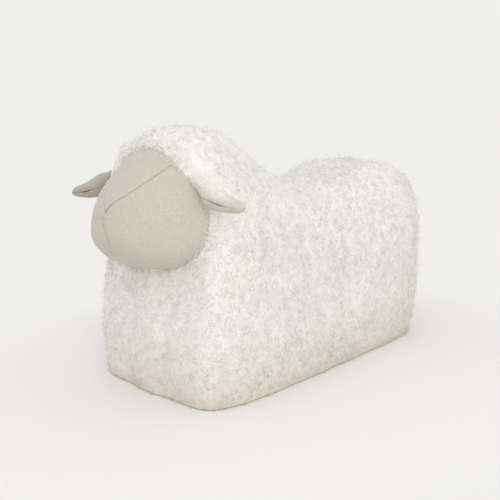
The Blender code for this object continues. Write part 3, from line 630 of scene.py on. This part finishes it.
def scatter_tree(locks, kind, spacing, seed):
    """Geometry nodes that set a lock, turned and sized by chance, on even points of a surface."""
    tree = bpy.data.node_groups.new("lock_scatter", "GeometryNodeTree")
    for way in ("INPUT", "OUTPUT"):
        tree.interface.new_socket("Geometry", in_out=way, socket_type="NodeSocketGeometry")

    def node(name, values=None, **settings):
        """A node from its settings and its sockets' values or links."""
        made = tree.nodes.new(name)
        for setting, value in settings.items():
            setattr(made, setting, value)
        for socket, value in (values or {}).items():
            if isinstance(value, bpy.types.NodeSocket):
                tree.links.new(value, made.inputs[socket])
            else:
                made.inputs[socket].default_value = value
        return made

    def shown(sockets):
        return [socket for socket in sockets if socket.enabled]

    def chance(values, low, high, number):
        made = node("FunctionNodeRandomValue", {"Seed": number}, data_type=values)
        for socket, limit in zip(shown(made.inputs), (low, high)):
            socket.default_value = limit
        return shown(made.outputs)[0]

    def painted(name):
        return shown(node("GeometryNodeInputNamedAttribute", {"Name": name}, data_type="FLOAT").outputs)[0]

    spread = kind["spread"]
    source = node("NodeGroupInput")
    sockets = {"Mesh": source.outputs[0], "Density Factor": painted(kind["where"]), "Seed": seed}
    sockets.update({"Distance Min": spacing * kind["spacing"], "Density Max": kind["density"] / spacing ** 2})
    points = node("GeometryNodeDistributePointsOnFaces", sockets, distribute_method="POISSON")
    turning = chance("FLOAT_VECTOR", (-spread, -spread, -math.pi), (spread, spread, math.pi), seed + 1)
    sockets = {0: points.outputs["Rotation"], 1: turning}
    turned = node("FunctionNodeRotateRotation", sockets, rotation_space="LOCAL")
    sockets = {0: painted("lock_length"), 1: chance("FLOAT", 0.75, 1.25, seed + 2)}
    size = node("ShaderNodeMath", sockets, operation="MULTIPLY")
    sockets = {"Collection": locks, "Separate Children": True, "Reset Children": True}
    kinds = node("GeometryNodeCollectionInfo", sockets)
    placed = node("GeometryNodeInstanceOnPoints", {
        "Points": points.outputs["Points"], "Instance": kinds.outputs[0], "Pick Instance": True,
        "Instance Index": chance("INT", 0, len(locks.objects) - 1, seed + 3),
        "Rotation": turned.outputs[0], "Scale": size.outputs[0],
    })
    sockets = {"Geometry": placed.outputs[0], "Name": "strand_tone"}
    tone = node("GeometryNodeStoreNamedAttribute", sockets, data_type="FLOAT", domain="INSTANCE")
    value = next(socket for socket in shown(tone.inputs) if socket.name == "Value")
    tree.links.new(chance("FLOAT", 0.0, 1.0, seed + 4), value)
    real = node("GeometryNodeRealizeInstances", {0: tone.outputs[0]})
    node("NodeGroupOutput", {0: real.outputs[0]})
    return tree


def unlike_locks(kind, settings, material):
    """A collection of unlike locks of one kind, to scatter."""
    kinds = bpy.data.collections.new(kind["name"])
    thickness = settings.strand * kind["thickness"]
    for number in range(kind["count"]):
        shape = lock_shape(number, kind, thickness, kind["steps"] or settings.lock_steps)
        lock = piece_from(f"{kind['name']}_{number}", shape, material)
        bpy.context.scene.collection.objects.unlink(lock)
        kinds.objects.link(lock)
    return kinds


def scattered(name, bed, tree):
    """A piece made of the locks that the tree sets on the bed."""
    modifier = bed.modifiers.new("locks", "NODES")
    modifier.node_group = tree
    graph = bpy.context.evaluated_depsgraph_get()
    mesh = bpy.data.meshes.new_from_object(bed.evaluated_get(graph))
    bed.modifiers.remove(modifier)
    mesh.name = name
    piece = bpy.data.objects.new(name, mesh)
    bpy.context.scene.collection.objects.link(piece)
    spots = points_of(mesh)
    low = spots[:, 2] < 0.0008
    spots[low, 2] = 0.0008
    mesh.vertices.foreach_set("co", spots.astype(np.float32).ravel())
    mesh.update()
    return piece


def pile_beds():
    """(name, coat panel, along from, along to) of each stretch of pile, small enough for one piece."""
    front, rear = (corner.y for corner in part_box("cover_left_side"))
    cuts = [front + (rear - front) * share for share in (0.30, 0.53, 0.76)]
    beds = []
    ends = [None, *cuts, None]
    for side in ("left", "right"):
        for part, name in enumerate(("shoulder", "belly", "loin", "haunch")):
            beds.append((f"pile_{side}_{name}", f"coat_{side}_side", ends[part], ends[part + 1]))
    for name in ("chest", "head", "back", "rump"):
        beds.append((f"pile_{name}", f"coat_{name}", None, None))
    return beds


def bed_from(panel, start, stop):
    """The panel's outer side between two places, painted with how densely and how long the pile grows."""
    shape = bmesh.new()
    shape.from_mesh(bpy.data.objects[panel].data)
    cut_to(shape, (None, start, None), (None, stop, None))
    bed = piece_from("bed", shape, None)
    spots = points_of(bed.data)
    ears = surface_tree(("ear_back_left", "ear_back_right"))
    face = surface_tree(FACE_PANELS)
    density, length, edge = [], [], []
    for spot in spots:
        place = Vector(spot)
        near_ear = ears.find_nearest(place, SEARCH)[3]
        near_face = face.find_nearest(place, SEARCH)[3]
        full = 1.0
        size = 1.0 + 0.25 * noise.noise(place * 15.0)
        if near_ear is not None:
            full *= float(smooth_step(near_ear, *EAR_BARE))
            size *= 0.40 + 0.60 * float(smooth_step(near_ear, *EAR_SHORT))
        if near_face is not None:
            size *= 0.85 + 0.15 * float(smooth_step(near_face, *FACE_SHORT))
        far = near_face is None or near_face > FRINGE_REACH
        edge.append(0.0 if far or (near_ear or 1.0) < FRINGE_EAR_GAP else 1.0)
        if place.z < LOW_PILE:
            size *= 0.75 + 0.25 * place.z / LOW_PILE
        density.append(full)
        length.append(size)
    paint(bed, "lock_density", density)
    paint(bed, "lock_length", length)
    paint(bed, "lock_edge", edge)
    return bed


def make_pile(settings):
    """The curly pile itself: thousands of fine locks, a thinner fuzz over them and a fringe at the face."""
    material = pile_material("cream_pile", settings, strand=True)
    locks = {ending: unlike_locks(kind, settings, material) for ending, kind in LOCK_KINDS.items()}
    for number, (name, panel, start, stop) in enumerate(pile_beds()):
        bed = bed_from(panel, start, stop)
        for ending, kind in LOCK_KINDS.items():
            if ending == "_fringe" and not name.endswith(FRINGED):
                continue
            tree = scatter_tree(locks[ending], kind, settings.spacing, 10 * number + kind["seed"])
            piece = scattered(name + ending, bed, tree)
            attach(piece, BODY)
        bpy.data.objects.remove(bed)
    for kinds in locks.values():
        for lock in list(kinds.objects):
            bpy.data.objects.remove(lock)
        bpy.data.collections.remove(kinds)


# Face

def face_point(turn, reach):
    """A point of the stuffed face: reach goes from 0 at the muzzle's tip to 1 at the rim."""
    across, up = math.cos(turn), math.sin(turn)
    power = 1.6 if up > 0 else FACE_LOW_POWER
    scale = (abs(across) ** power + abs(up) ** power) ** (-1 / power)
    x = FACE_HALF_WIDTH * across * scale
    z = FACE_CENTRE + (FACE_RISE if up > 0 else FACE_DROP) * up * scale
    rim = FACE_RIM - 0.022 * abs(up) ** 1.5 - 0.004 * max(up, 0)
    steep = SIDE_STEEPNESS + ((1.0 - SIDE_STEEPNESS) * up if up > 0 else (SIDE_STEEPNESS - 0.42) * up)
    bulge = max(1 - reach * reach, 0.0) ** steep
    return Vector((reach * x, rim + (MUZZLE_TIP - rim) * bulge, MUZZLE_LEVEL + reach * (z - MUZZLE_LEVEL)))


def face_skin(settings):
    """The face's cloth as one surface: a grid wrapped round the muzzle, with a short skirt behind its rim."""
    shape = bmesh.new()
    rows = settings.face_rings + 3
    bmesh.ops.create_grid(shape, x_segments=settings.face_turns, y_segments=rows, size=0.5)
    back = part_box("face_forehead")[1].y
    for vert in shape.verts:
        turn = (vert.co.x + 0.5) * 2 * math.pi
        row = (vert.co.y + 0.5) * rows
        place = face_point(turn, math.sin(math.pi / 2 * min(row / settings.face_rings, 1.0)))
        if row > settings.face_rings:
            place.y += (back - place.y) * (row - settings.face_rings) / 3
        vert.co = place
    bmesh.ops.remove_doubles(shape, verts=shape.verts, dist=0.00005)
    bmesh.ops.recalc_face_normals(shape, faces=shape.faces)
    shape.normal_update()
    tip = min(shape.faces, key=lambda face: face.calc_center_median().y)
    if tip.normal.y > 0:
        bmesh.ops.reverse_faces(shape, faces=shape.faces)
    return shape


def wedge_edge(side):
    """The seam between the forehead and a cheek, as (x, z) points from the nose up. It is sewn off centre."""
    height = WEDGE_TOP - NOSE_LEVEL
    points = []
    for across, up in WEDGE_SHARES:
        shift = NOSE_SHIFT * max(1 - up / 0.3, 0)
        points.append((side * across * WEDGE_HALF_WIDTH - shift, NOSE_LEVEL + up * height + shift / 2))
    return points


def face_seams():
    """(points in x and z, width, depth, painted shade at the start, painted shade at the end) of each seam and
    crease.
    """
    seams = []
    for side in (1, -1):
        edge = wedge_edge(side)
        nose = [(x, z) for x, z in edge if z < NOSE_LEVEL + 0.016]
        seams.append((edge, 0.0013, 0.0011, 0.75, 0.25))
        seams.append((nose, 0.0022, 0.0022, 1.0, 0.2))
    start = wedge_edge(1)[0]
    below = [start, (-0.0108, 0.2711), (-0.0085, 0.2655), (-0.0017, 0.2550), (0.0012, 0.2400)]
    below.append((-0.0009, 0.2337))
    seams.append((below[1:], 0.0014, 0.0014, 0.8, 0.8))
    seams.append((below[:2], 0.0016, 0.0010, 0.3, 0.5))
    seams.append(([below[1], (0.0, 0.2705), (0.010, 0.2700)], 0.0016, 0.0009, 0.6, 0.1))
    seams.append(([below[1], (-0.018, 0.2700)], 0.0016, 0.0009, 0.4, 0.1))
    seams.append(([below[-1], (-0.0009, 0.2060)], 0.0013, 0.0009, 0.7, 0.25))
    fold = [(-0.0179, 0.2285), (-0.0088, 0.2235), (-0.0003, 0.2200), (0.0100, 0.2195)]
    seams.append((fold, 0.0018, 0.0012, 0.5, 0.1))
    return seams


def seam_field(spots, line):
    """Distance from each (x, z) spot to a line, and how far along it the nearest point lies, from 0 to 1."""
    line = np.array(line)
    steps = np.linalg.norm(np.diff(line, axis=0), axis=1)
    run = np.concatenate([[0.0], np.cumsum(steps)]) / steps.sum()
    best = np.full(len(spots), 9.0)
    along = np.zeros(len(spots))
    for i in range(len(steps)):
        way = line[i + 1] - line[i]
        share = np.clip((spots - line[i]) @ way / (way @ way), 0, 1)
        away = np.linalg.norm(spots - line[i] - share[:, None] * way, axis=1)
        nearer = away < best
        best[nearer] = away[nearer]
        along[nearer] = (run[i] + (run[i + 1] - run[i]) * share)[nearer]
    return best, along


def sew_face(shape):
    """Sinks the seams into the stuffed cloth. Returns how much painted shade each vertex gets in the seams and
    creases.
    """
    shape.verts.ensure_lookup_table()
    shape.normal_update()
    spots = np.array([(vert.co.x, vert.co.z) for vert in shape.verts])
    sink = np.zeros(len(spots))
    dark = np.zeros(len(spots))
    for line, width, depth, start, end in face_seams():
        away, along = seam_field(spots, line)
        pulled = 0.35 * depth * np.exp(-((away / 0.008) ** 2))
        sink = np.maximum(sink, depth * np.exp(-((away / width) ** 2)) + pulled)
        # Painted shade along each seam and crease, from its start to its end.
        dark = np.maximum(dark, (start + (end - start) * along) * np.exp(-((away / (0.62 * width)) ** 2)))
    for vert, depth in zip(list(shape.verts), sink):
        puff = 0.0009 * noise.noise(vert.co * 28.0) + 0.0004 * noise.noise(vert.co * 75.0)
        vert.co += vert.normal * (puff - float(depth))
    return dark


def make_face(settings):
    """The forehead and the two cheeks, cut from one sewn skin along their seams."""
    material = face_material("beige_face_cloth", settings)
    skin = face_skin(settings)
    dark = sew_face(skin)
    # The seam layer holds the painted shade of the seams and creases.
    layer = skin.verts.layers.float.new("seam")
    for vert, value in zip(skin.verts, dark):
        vert[layer] = float(value)
    edges = [list(zip(*wedge_edge(side))) for side in (1, -1)]
    tip = wedge_edge(1)[0]

    def panel_of(place):
        left, right = (np.interp(place.z, up, across) for across, up in edges)
        if place.z > tip[1] and right < place.x < left:
            return "forehead"
        return "left_cheek" if place.x > tip[0] else "right_cheek"

    for name in ("forehead", "left_cheek", "right_cheek"):
        shape = skin.copy()
        spare = [face for face in shape.faces if panel_of(face.calc_center_median()) != name]
        bmesh.ops.delete(shape, geom=spare, context="FACES")
        panel = piece_from("sewn_" + name, shape, material)
        thicken(panel, settings.cloth)
        stand_for(panel, "face_" + name)
    skin.free()


def ear_frame(along, hinge, settings):
    """Middle, width direction and forward direction of the left ear at a share of its length."""
    root, seam = hinge
    forward = Vector((0.970, -0.053, -0.232)).normalized()
    upright = (Vector((0, 0, 1)) - forward * forward.z).normalized()
    turned = float(smooth_step(along * 2.5, 0.0, 1.0))
    wide = (seam * (1 - turned) + upright * turned).normalized()
    front = wide.cross(forward).normalized()
    if front.y > 0:
        front = -front
    sag = 0.004 * math.sin(math.pi * min(max(along, 0.0), 1.0))
    return root + forward * settings.ear_length * along - upright * sag, wide, front


def section_points(count):
    """Evenly spaced points along the ear's section, rounded between the ones that are given."""
    knots = np.array(EAR_SECTION)
    run = np.concatenate([[0.0], np.cumsum(np.linalg.norm(np.diff(knots, axis=0), axis=1))])
    even = np.linspace(0, run[-1], count * 4)
    line = np.stack([np.interp(even, run, knots[:, i]) for i in (0, 1)], axis=1)
    for _ in range(12):
        line[1:-1] = (line[:-2] + line[1:-1] * 2 + line[2:]) / 4
    return line[np.linspace(0, len(line) - 1, count).round().astype(int)]


def ear_shape(hinge, settings, inset):
    """One layer of the left ear: a grid bent into a flattened tube that opens in front."""
    spans, count = 44, 41
    line = section_points(count)
    shape = bmesh.new()
    bmesh.ops.create_grid(shape, x_segments=spans, y_segments=count - 1, size=0.5)
    for vert in shape.verts:
        along = -0.03 + 1.03 * (vert.co.x + 0.5) ** 0.9
        up, out = line[int(round((vert.co.y + 0.5) * (count - 1)))]
        middle, wide, front = ear_frame(along, hinge, settings)
        end = max(1 - max(along - 0.91, 0.0) ** 2 / 0.09 ** 2, 0.0) ** 0.5
        half = settings.ear_half_width * (1 - 0.70 * along) * end
        open_share = math.sin(math.pi * min(max((along - 0.36) / 0.36, 0.0), 1.0))
        closing = 0.20 - open_share * 0.075
        up += closing * (-1 if out > 0.5 and up > -0.3 else 1 if out > 0.5 else 0) * max(out - 0.5, 0) * 2
        fullness = 0.40 + 0.60 * float(smooth_step(along, 0.0, 0.22)) - 0.25 * max(along, 0.0)
        depth = settings.ear_depth * fullness * end
        wave = 0.0012 * noise.noise(Vector((along * 5.0, up * 1.6, out * 0.8)))
        half, depth = max(half - inset, 0.0005), max(depth - inset, 0.0005)
        vert.co = middle + wide * (up * half) + front * (out * depth + wave)
    return shape


def make_ears(settings):
    """Two folded ears, each with an outer cloth and a lining, turning with their hinges."""
    cloth = face_material("beige_ear_cloth", settings, pale=settings.ear_wool_and_highlight_colour)
    joint = next(row for row in frame["record"]["behaviour"]["joints"] if row["name"] == "left_ear_flap")
    hinge = Vector(joint["pos_m"]), Vector(joint["axis"]).normalized()
    layers = (("outer", "ear_back_", 0.0, 0.0019), ("inner", "ear_lining_", 0.0021, 0.0010))
    for side, name in ((1, "left"), (-1, "right")):
        for layer, node, inset, thickness in layers:
            shape = ear_shape(hinge, settings, inset)
            bmesh.ops.scale(shape, vec=(side, 1, 1), verts=shape.verts)
            bmesh.ops.remove_doubles(shape, verts=shape.verts, dist=0.00005)
            face_outwards(shape)
            piece = piece_from(f"ear_{name}_{layer}", shape, cloth)
            # Pale upper side: partly a painted highlight, partly the head's wool brushed over it.
            paint(piece, "pale", ear_wool_and_highlight(piece, hinge, side, settings))
            # Painted shade: the front of the right ear is darkened for the head's shadow, through the seam
            # attribute.
            away = [max(-vert.normal.y, 0.0) if side < 0 else 0.0 for vert in piece.data.vertices]
            paint(piece, "seam", [settings.nap_and_ear_shade * float(smooth_step(value, 0.0, 0.5)) for value in away])
            thicken(piece, thickness)
            stand_for(piece, node + name, body="ear_" + name)


def ear_wool_and_highlight(piece, hinge, side, settings):
    """How pale each point of an ear is: most on the upper side and less towards the tip, partly a painted
    highlight where light falls from above, partly where the wool of the head brushes it.
    """
    tip = ear_frame(1, hinge, settings)[0]
    values = []
    for spot in points_of(piece.data):
        place = Vector((side * spot[0], spot[1], spot[2]))
        reach = (place - hinge[0]).dot(tip - hinge[0])
        along = min(max(reach / settings.ear_length ** 2, 0), 1)
        middle, wide, _ = ear_frame(along, hinge, settings)
        up = (place - middle).dot(wide) / (settings.ear_half_width * (1 - 0.70 * along))
        values.append(float(smooth_step(up, -0.2, 0.6) * (1 - 0.7 * smooth_step(along, 0.50, 0.90))))
    return values


def face_outwards(shape):
    """Turns the grid's faces so that its back looks backwards."""
    shape.normal_update()
    middles = {face: face.calc_center_median() for face in shape.faces}
    back = max(shape.faces, key=lambda face: middles[face].y - 0.2 * abs(middles[face].x))
    if back.normal.y < 0:
        bmesh.ops.reverse_faces(shape, faces=shape.faces)


# Inside and underside

def dress(nodes, material):
    """Gives CAD nodes a finish and leaves their shape."""
    for node in nodes:
        for slot in frame["nodes"][node].material_slots:
            slot.material = material


def nodes_ending(*endings):
    return [name for name in frame["nodes"] if name.endswith(endings)]


def make_inside():
    dress(nodes_ending("_board"), wood_material("birch_plywood", (0.62, 0.45, 0.28), (0.47, 0.31, 0.17), True))
    dress(nodes_ending("_block"), wood_material("pine_block", (0.70, 0.52, 0.32), (0.55, 0.36, 0.19), False))
    foam = foam_material("cream_foam", (0.82, 0.76, 0.58), (0.70, 0.62, 0.42))
    fibre = foam_material("white_fibre", (0.86, 0.86, 0.85), (0.72, 0.72, 0.71))
    for node in PADS:
        soft = node == "face_filling"
        make_pad(node, fibre if soft else foam)


def make_pad(node, material):
    """A pad with softly rounded edges and a slightly uneven surface, in the place of its solid."""
    pad = evened(piece_from("soft_" + node, merged_copy(node), material), voxel=0.008, steps=4)
    for vert in pad.data.vertices:
        vert.co -= vert.normal * (0.0006 + 0.0005 * noise.noise(vert.co * 30.0))
    for face in pad.data.polygons:
        face.use_smooth = True
    stand_for(pad, node)


def net_of(node):
    """A flat node cut into small cells, so that it can sag and pucker, with its flat area."""
    shape = merged_copy(node)
    area = sum(part.calc_area() for part in shape.faces if part.normal.z < -0.9)
    low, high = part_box(node)
    for axis in (0, 1):
        for line in range(1, math.ceil((high[axis] - low[axis]) / NET_CELL)):
            slice_at(shape, axis, low[axis] + line * NET_CELL)
    return shape, area, high - low


def pinned_spots():
    """Where the staples, the glides and their screws hold the cloth up, with the reach of each."""
    spots = []
    for node in frame["nodes"]:
        if node.startswith("hem_staple") or node.endswith("_glide"):
            low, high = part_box(node)
            spots.append(((low + high) / 2, max(high.x - low.x, high.y - low.y) / 2))
    return spots


def make_under_cloth(name, node, material, sag, pucker):
    """A thin cloth under the base. It hangs between what holds it, and puckers a little."""
    shape, area, size = net_of(node)
    spots = pinned_spots()
    low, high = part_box(node)
    middle, half = (low + high) / 2, (high - low) / 2
    for vert in shape.verts:
        across, along = (vert.co.x - middle.x) / half.x, (vert.co.y - middle.y) / half.y
        free = max(1 - across ** 6, 0) * max(1 - along ** 6, 0)
        for spot, reach in spots:
            away = (vert.co.xy - spot.xy).length - reach
            free *= float(smooth_step(away, *PIN_REACH))
        fold = noise.noise(Vector((vert.co.x * 34, vert.co.y * 34, 2.0))) * 0.5 + 0.5
        vert.co.z -= sag * free + pucker * fold * min(free * 3, 1)
    cloth = piece_from(name, shape, material)
    stand_for(cloth, node)
    return cloth, area, size


def make_underside():
    lining = lining_material("black_lining", (0.022, 0.022, 0.024))
    cloth, area, size = make_under_cloth("lining_sheet", "dust_cover", lining, DUST_SAG, DUST_PUCKER)
    hem, area, size = make_under_cloth("hem_strip", "cover_hem", lining, 0.0, HEM_PUCKER)
    area / HEM_WIDTH
    dress(nodes_ending("_glide"), glide_material("black_glide"))
    steel = nodes_ending("_screw") + [name for name in frame["nodes"] if name.startswith("hem_staple")]
    dress(steel, zinc_material("zinc_steel"))


# Stage

def looked_at(tree):
    """1 for rays that show the backdrop: straight to the camera, mirrored or through glass."""
    path = tree.nodes.new("ShaderNodeLightPath")
    total = path.outputs["Is Camera Ray"]
    for name in ("Is Glossy Ray", "Is Transmission Ray"):
        sum_node = tree.nodes.new("ShaderNodeMath")
        sum_node.operation = "MAXIMUM"
        tree.links.new(total, sum_node.inputs[0])
        tree.links.new(path.outputs[name], sum_node.inputs[1])
        total = sum_node.outputs[0]
    return total


def floor_material(settings):
    """Pale floor that keeps the shadow round the object and fades into the backdrop further out."""
    graph = Graph("pale_floor")
    grain = graph.clouds(graph.place(), 3.0, 2.0)
    body = graph.mix(grain * 0.1, settings.floor_colour, tuple(c * 0.99 for c in settings.floor_colour))
    graph.finish(base_color=body, roughness=0.9)
    place = graph.place((1.0, 0.75, 1.0))
    away = graph.node("ShaderNodeVectorMath", {"operation": "LENGTH"}, {0: place}, output="Value")
    glow = graph.node("ShaderNodeEmission", {}, {"Color": settings.backdrop_colour})
    seen = Port(graph, looked_at(graph.tree))
    share = seen * away.between(settings.fade_start, settings.fade_end)
    shader = Port(graph, graph.shader.outputs[0])
    mixed = graph.node("ShaderNodeMixShader", {}, {0: share, 1: shader, 2: glow})
    out = graph.tree.nodes["Material Output"]
    graph.tree.links.new(mixed.socket, out.inputs["Surface"])
    return graph.material


def make_stage(settings):
    """A pale sweep of floor, soft lamps and the camera."""
    scene = bpy.context.scene
    scene.view_settings.view_transform = "Standard"
    shape = bmesh.new()
    bmesh.ops.create_grid(shape, x_segments=2, y_segments=2, size=6.0)
    floor = piece_from("floor", shape, floor_material(settings))
    world = bpy.data.worlds.new("studio")
    scene.world = world
    world.use_nodes = True
    tree = world.node_tree
    tree.nodes.clear()
    mix = tree.nodes.new("ShaderNodeMixShader")
    tree.links.new(looked_at(tree), mix.inputs[0])
    lights = ((SKY_COLOUR, settings.sky_strength), (settings.backdrop_colour, 1.0))
    for number, (colour, strength) in enumerate(lights, 1):
        light = tree.nodes.new("ShaderNodeBackground")
        light.inputs["Color"].default_value = (*colour, 1.0)
        light.inputs["Strength"].default_value = strength
        tree.links.new(light.outputs[0], mix.inputs[number])
    out = tree.nodes.new("ShaderNodeOutputWorld")
    tree.links.new(mix.outputs[0], out.inputs[0])
    add_lamp("side_lamp", (2.2, -1.9, 1.7), 1.8, settings.side_power)
    add_lamp("top_lamp", (0.2, -0.6, 3.2), 2.4, settings.top_power)
    camera_data = bpy.data.cameras.new("camera")
    camera_data.lens = CAMERA_LENS
    camera_data.sensor_width = 36.0
    camera_data.clip_start = 0.01
    camera = bpy.data.objects.new("camera", camera_data)
    scene.collection.objects.link(camera)
    aim(camera, CAMERA_PLACE)
    scene.camera = camera


def aim(thing, place):
    """Sets a lamp or the camera at a place, looking at the object."""
    thing.location = place
    thing.rotation_euler = (CAMERA_TARGET - thing.location).to_track_quat("-Z", "Y").to_euler()


def add_lamp(name, place, size, power):
    data = bpy.data.lights.new(name, "AREA")
    data.shape = "SQUARE"
    data.size = size
    data.energy = power
    lamp = bpy.data.objects.new(name, data)
    bpy.context.scene.collection.objects.link(lamp)
    aim(lamp, place)


# Add-on

def metres(name, description, default):
    return FloatProperty(name=name, description=description, default=default, unit="LENGTH")


def tint(name, description, default):
    return FloatVectorProperty(name=name, description=description, default=default, subtype="COLOR")


class PileSettings(bpy.types.PropertyGroup):
    """Sizes and colours of the coat and its pile"""
    voxel: metres("Skin grid", "Grid of the body's skin", 0.005)
    relax_steps: IntProperty(name="Relaxing", description="Smoothing steps of the skin", default=12)
    pile_depth: metres("Pile depth", "How far the backing lies under the pile's ends", 0.0013)
    face_overlap: metres("Face overlap", "How far the pile reaches over the edge of the face", 0.003)
    tuft_height: metres("Tuft height", "Unevenness of the backing", 0.0020)
    tuck: metres("Tuck", "How far the lower edge is drawn in", 0.002)
    backing: metres("Backing", "Thickness of the backing", 0.004)
    strand: metres("Strand", "Thickness of a lock", 0.0008)
    lock_steps: IntProperty(name="Lock steps", description="Spans along a lock", default=7)
    spacing: metres("Spacing", "Least distance between locks", 0.0040)
    # Painted shade: below this height the pile is drawn darker and warmer.
    warm_shade_height: metres("Warm height", "How high the warmer colour reaches", 0.11)
    colour: tint("Colour", "Main colour of the pile", (0.95, 0.945, 0.912))
    # Painted shade colour, darker and warmer, used near the floor and at the rump.
    low_shade_and_warm_colour: tint("Low colour", "Colour near the floor and the rump", (0.84, 0.81, 0.74))
    edge_colour: tint("Edge colour", "Colour of the lower edge", (0.70, 0.63, 0.52))
    root_colour: tint("Root shade", "Shade between the locks", (0.91, 0.90, 0.875))
    bright_colour: tint("Bright colour", "Colour of the brightest locks", (0.98, 0.975, 0.950))


class FaceSettings(bpy.types.PropertyGroup):
    """Colours of the face cloth and of the ears"""
    face_turns: IntProperty(name="Face turns", description="Cells round the face", default=320)
    face_rings: IntProperty(name="Face rings", description="Cells from the muzzle to the rim", default=100)
    cloth: metres("Cloth", "Thickness of the face cloth", 0.0022)
    ear_length: metres("Ear length", "From the root seam to the tip", 0.095)
    ear_half_width: metres("Ear half width", "Half the ear's width at its root", 0.0225)
    ear_depth: metres("Ear depth", "How far the folded ear stands forwards", 0.0115)
    # Pale colour of the ears' upper side: partly a painted highlight, partly the head's wool.
    ear_wool_and_highlight_colour: tint("Ear colour", "Main colour of the ears", (0.87, 0.86, 0.80))
    # Painted shade on the front of the right ear, standing in for the head's shadow.
    nap_and_ear_shade: FloatProperty(name="Nap", description="How dark the nap makes the front of the right ear", default=1.0)
    colour: tint("Colour", "Main colour", (0.555, 0.530, 0.466))
    warm_colour: tint("Warm colour", "Colour of the warmer patches", (0.575, 0.530, 0.458))
    deep_colour: tint("Deep colour", "Colour between the fibres", (0.44, 0.40, 0.33))
    fleck_colour: tint("Fleck colour", "Colour of pale flecks", (0.72, 0.69, 0.63))
    # Painted shade colour for the seams and creases of the face and for the front of the right ear.
    painted_shade_colour: tint("Seam colour", "Colour in the seams", (0.30, 0.25, 0.20))


class StageSettings(bpy.types.PropertyGroup):
    """Floor, backdrop and lamps"""
    floor_colour: tint("Floor", "Colour of the floor", (0.86, 0.85, 0.82))
    backdrop_colour: tint("Backdrop", "Colour behind the floor", (0.871, 0.863, 0.831))
    fade_start: metres("Fade start", "Where the floor begins to fade out", 0.33)
    fade_end: metres("Fade end", "Where the floor has faded into the backdrop", 0.56)
    sky_strength: FloatProperty(name="Sky", description="Strength of the light all round", default=0.84)
    side_power: FloatProperty(name="Side lamp", description="Power of the side lamp in watts", default=27.5)
    top_power: FloatProperty(name="Top lamp", description="Power of the top lamp in watts", default=7.5)


class FOOTSTOOL_OT_coat(bpy.types.Operator):
    """Make the backing of the pile in six panels"""
    bl_idname = "footstool.coat"
    bl_label = "Coat"

    def execute(self, context):
        make_coat(context.scene.footstool_pile)
        return {"FINISHED"}


class FOOTSTOOL_OT_pile(bpy.types.Operator):
    """Grow the curly pile on the coat"""
    bl_idname = "footstool.pile"
    bl_label = "Pile"

    def execute(self, context):
        make_pile(context.scene.footstool_pile)
        return {"FINISHED"}


class FOOTSTOOL_OT_face(bpy.types.Operator):
    """Make the cloth of the face"""
    bl_idname = "footstool.face"
    bl_label = "Face"

    def execute(self, context):
        make_face(context.scene.footstool_face)
        return {"FINISHED"}


class FOOTSTOOL_OT_ears(bpy.types.Operator):
    """Make the two folded ears"""
    bl_idname = "footstool.ears"
    bl_label = "Ears"

    def execute(self, context):
        make_ears(context.scene.footstool_face)
        return {"FINISHED"}


class FOOTSTOOL_OT_inside(bpy.types.Operator):
    """Finish the boards, blocks and padding inside"""
    bl_idname = "footstool.inside"
    bl_label = "Inside"

    def execute(self, context):
        make_inside()
        return {"FINISHED"}


class FOOTSTOOL_OT_underside(bpy.types.Operator):
    """Finish the linings, glides, screws and staples"""
    bl_idname = "footstool.underside"
    bl_label = "Underside"

    def execute(self, context):
        make_underside()
        return {"FINISHED"}


class FOOTSTOOL_OT_stage(bpy.types.Operator):
    """Set the floor, the lamps and the camera"""
    bl_idname = "footstool.stage"
    bl_label = "Stage"

    def execute(self, context):
        make_stage(context.scene.footstool_stage)
        return {"FINISHED"}


class FOOTSTOOL_PT_panel(bpy.types.Panel):
    """The footstool's operators and settings"""
    bl_idname = "FOOTSTOOL_PT_panel"
    bl_label = "Lamb Footstool"
    bl_space_type = "VIEW_3D"
    bl_region_type = "UI"
    bl_category = "Footstool"

    def draw(self, context):
        for operator in OPERATORS:
            self.layout.operator(operator.bl_idname)
        for group in ("footstool_pile", "footstool_face", "footstool_stage"):
            box = self.layout.box()
            settings = getattr(context.scene, group)
            for name in settings.__annotations__:
                box.prop(settings, name)


OPERATORS = (
    FOOTSTOOL_OT_stage, FOOTSTOOL_OT_inside, FOOTSTOOL_OT_underside, FOOTSTOOL_OT_coat, FOOTSTOOL_OT_pile,
    FOOTSTOOL_OT_face, FOOTSTOOL_OT_ears,
)
GROUPS = (
    ("footstool_pile", PileSettings),
    ("footstool_face", FaceSettings),
    ("footstool_stage", StageSettings),
)


def register():
    for name, group in GROUPS:
        bpy.utils.register_class(group)
        setattr(bpy.types.Scene, name, PointerProperty(type=group))
    for part in (*OPERATORS, FOOTSTOOL_PT_panel):
        bpy.utils.register_class(part)


def unregister():
    for part in (FOOTSTOOL_PT_panel, *reversed(OPERATORS)):
        bpy.utils.unregister_class(part)
    for name, group in reversed(GROUPS):
        delattr(bpy.types.Scene, name)
        bpy.utils.unregister_class(group)


def main():
    register()
    for operator in OPERATORS:
        group, name = operator.bl_idname.split(".")
        getattr(getattr(bpy.ops, group), name)()


if __name__ == "__main__":
    main()
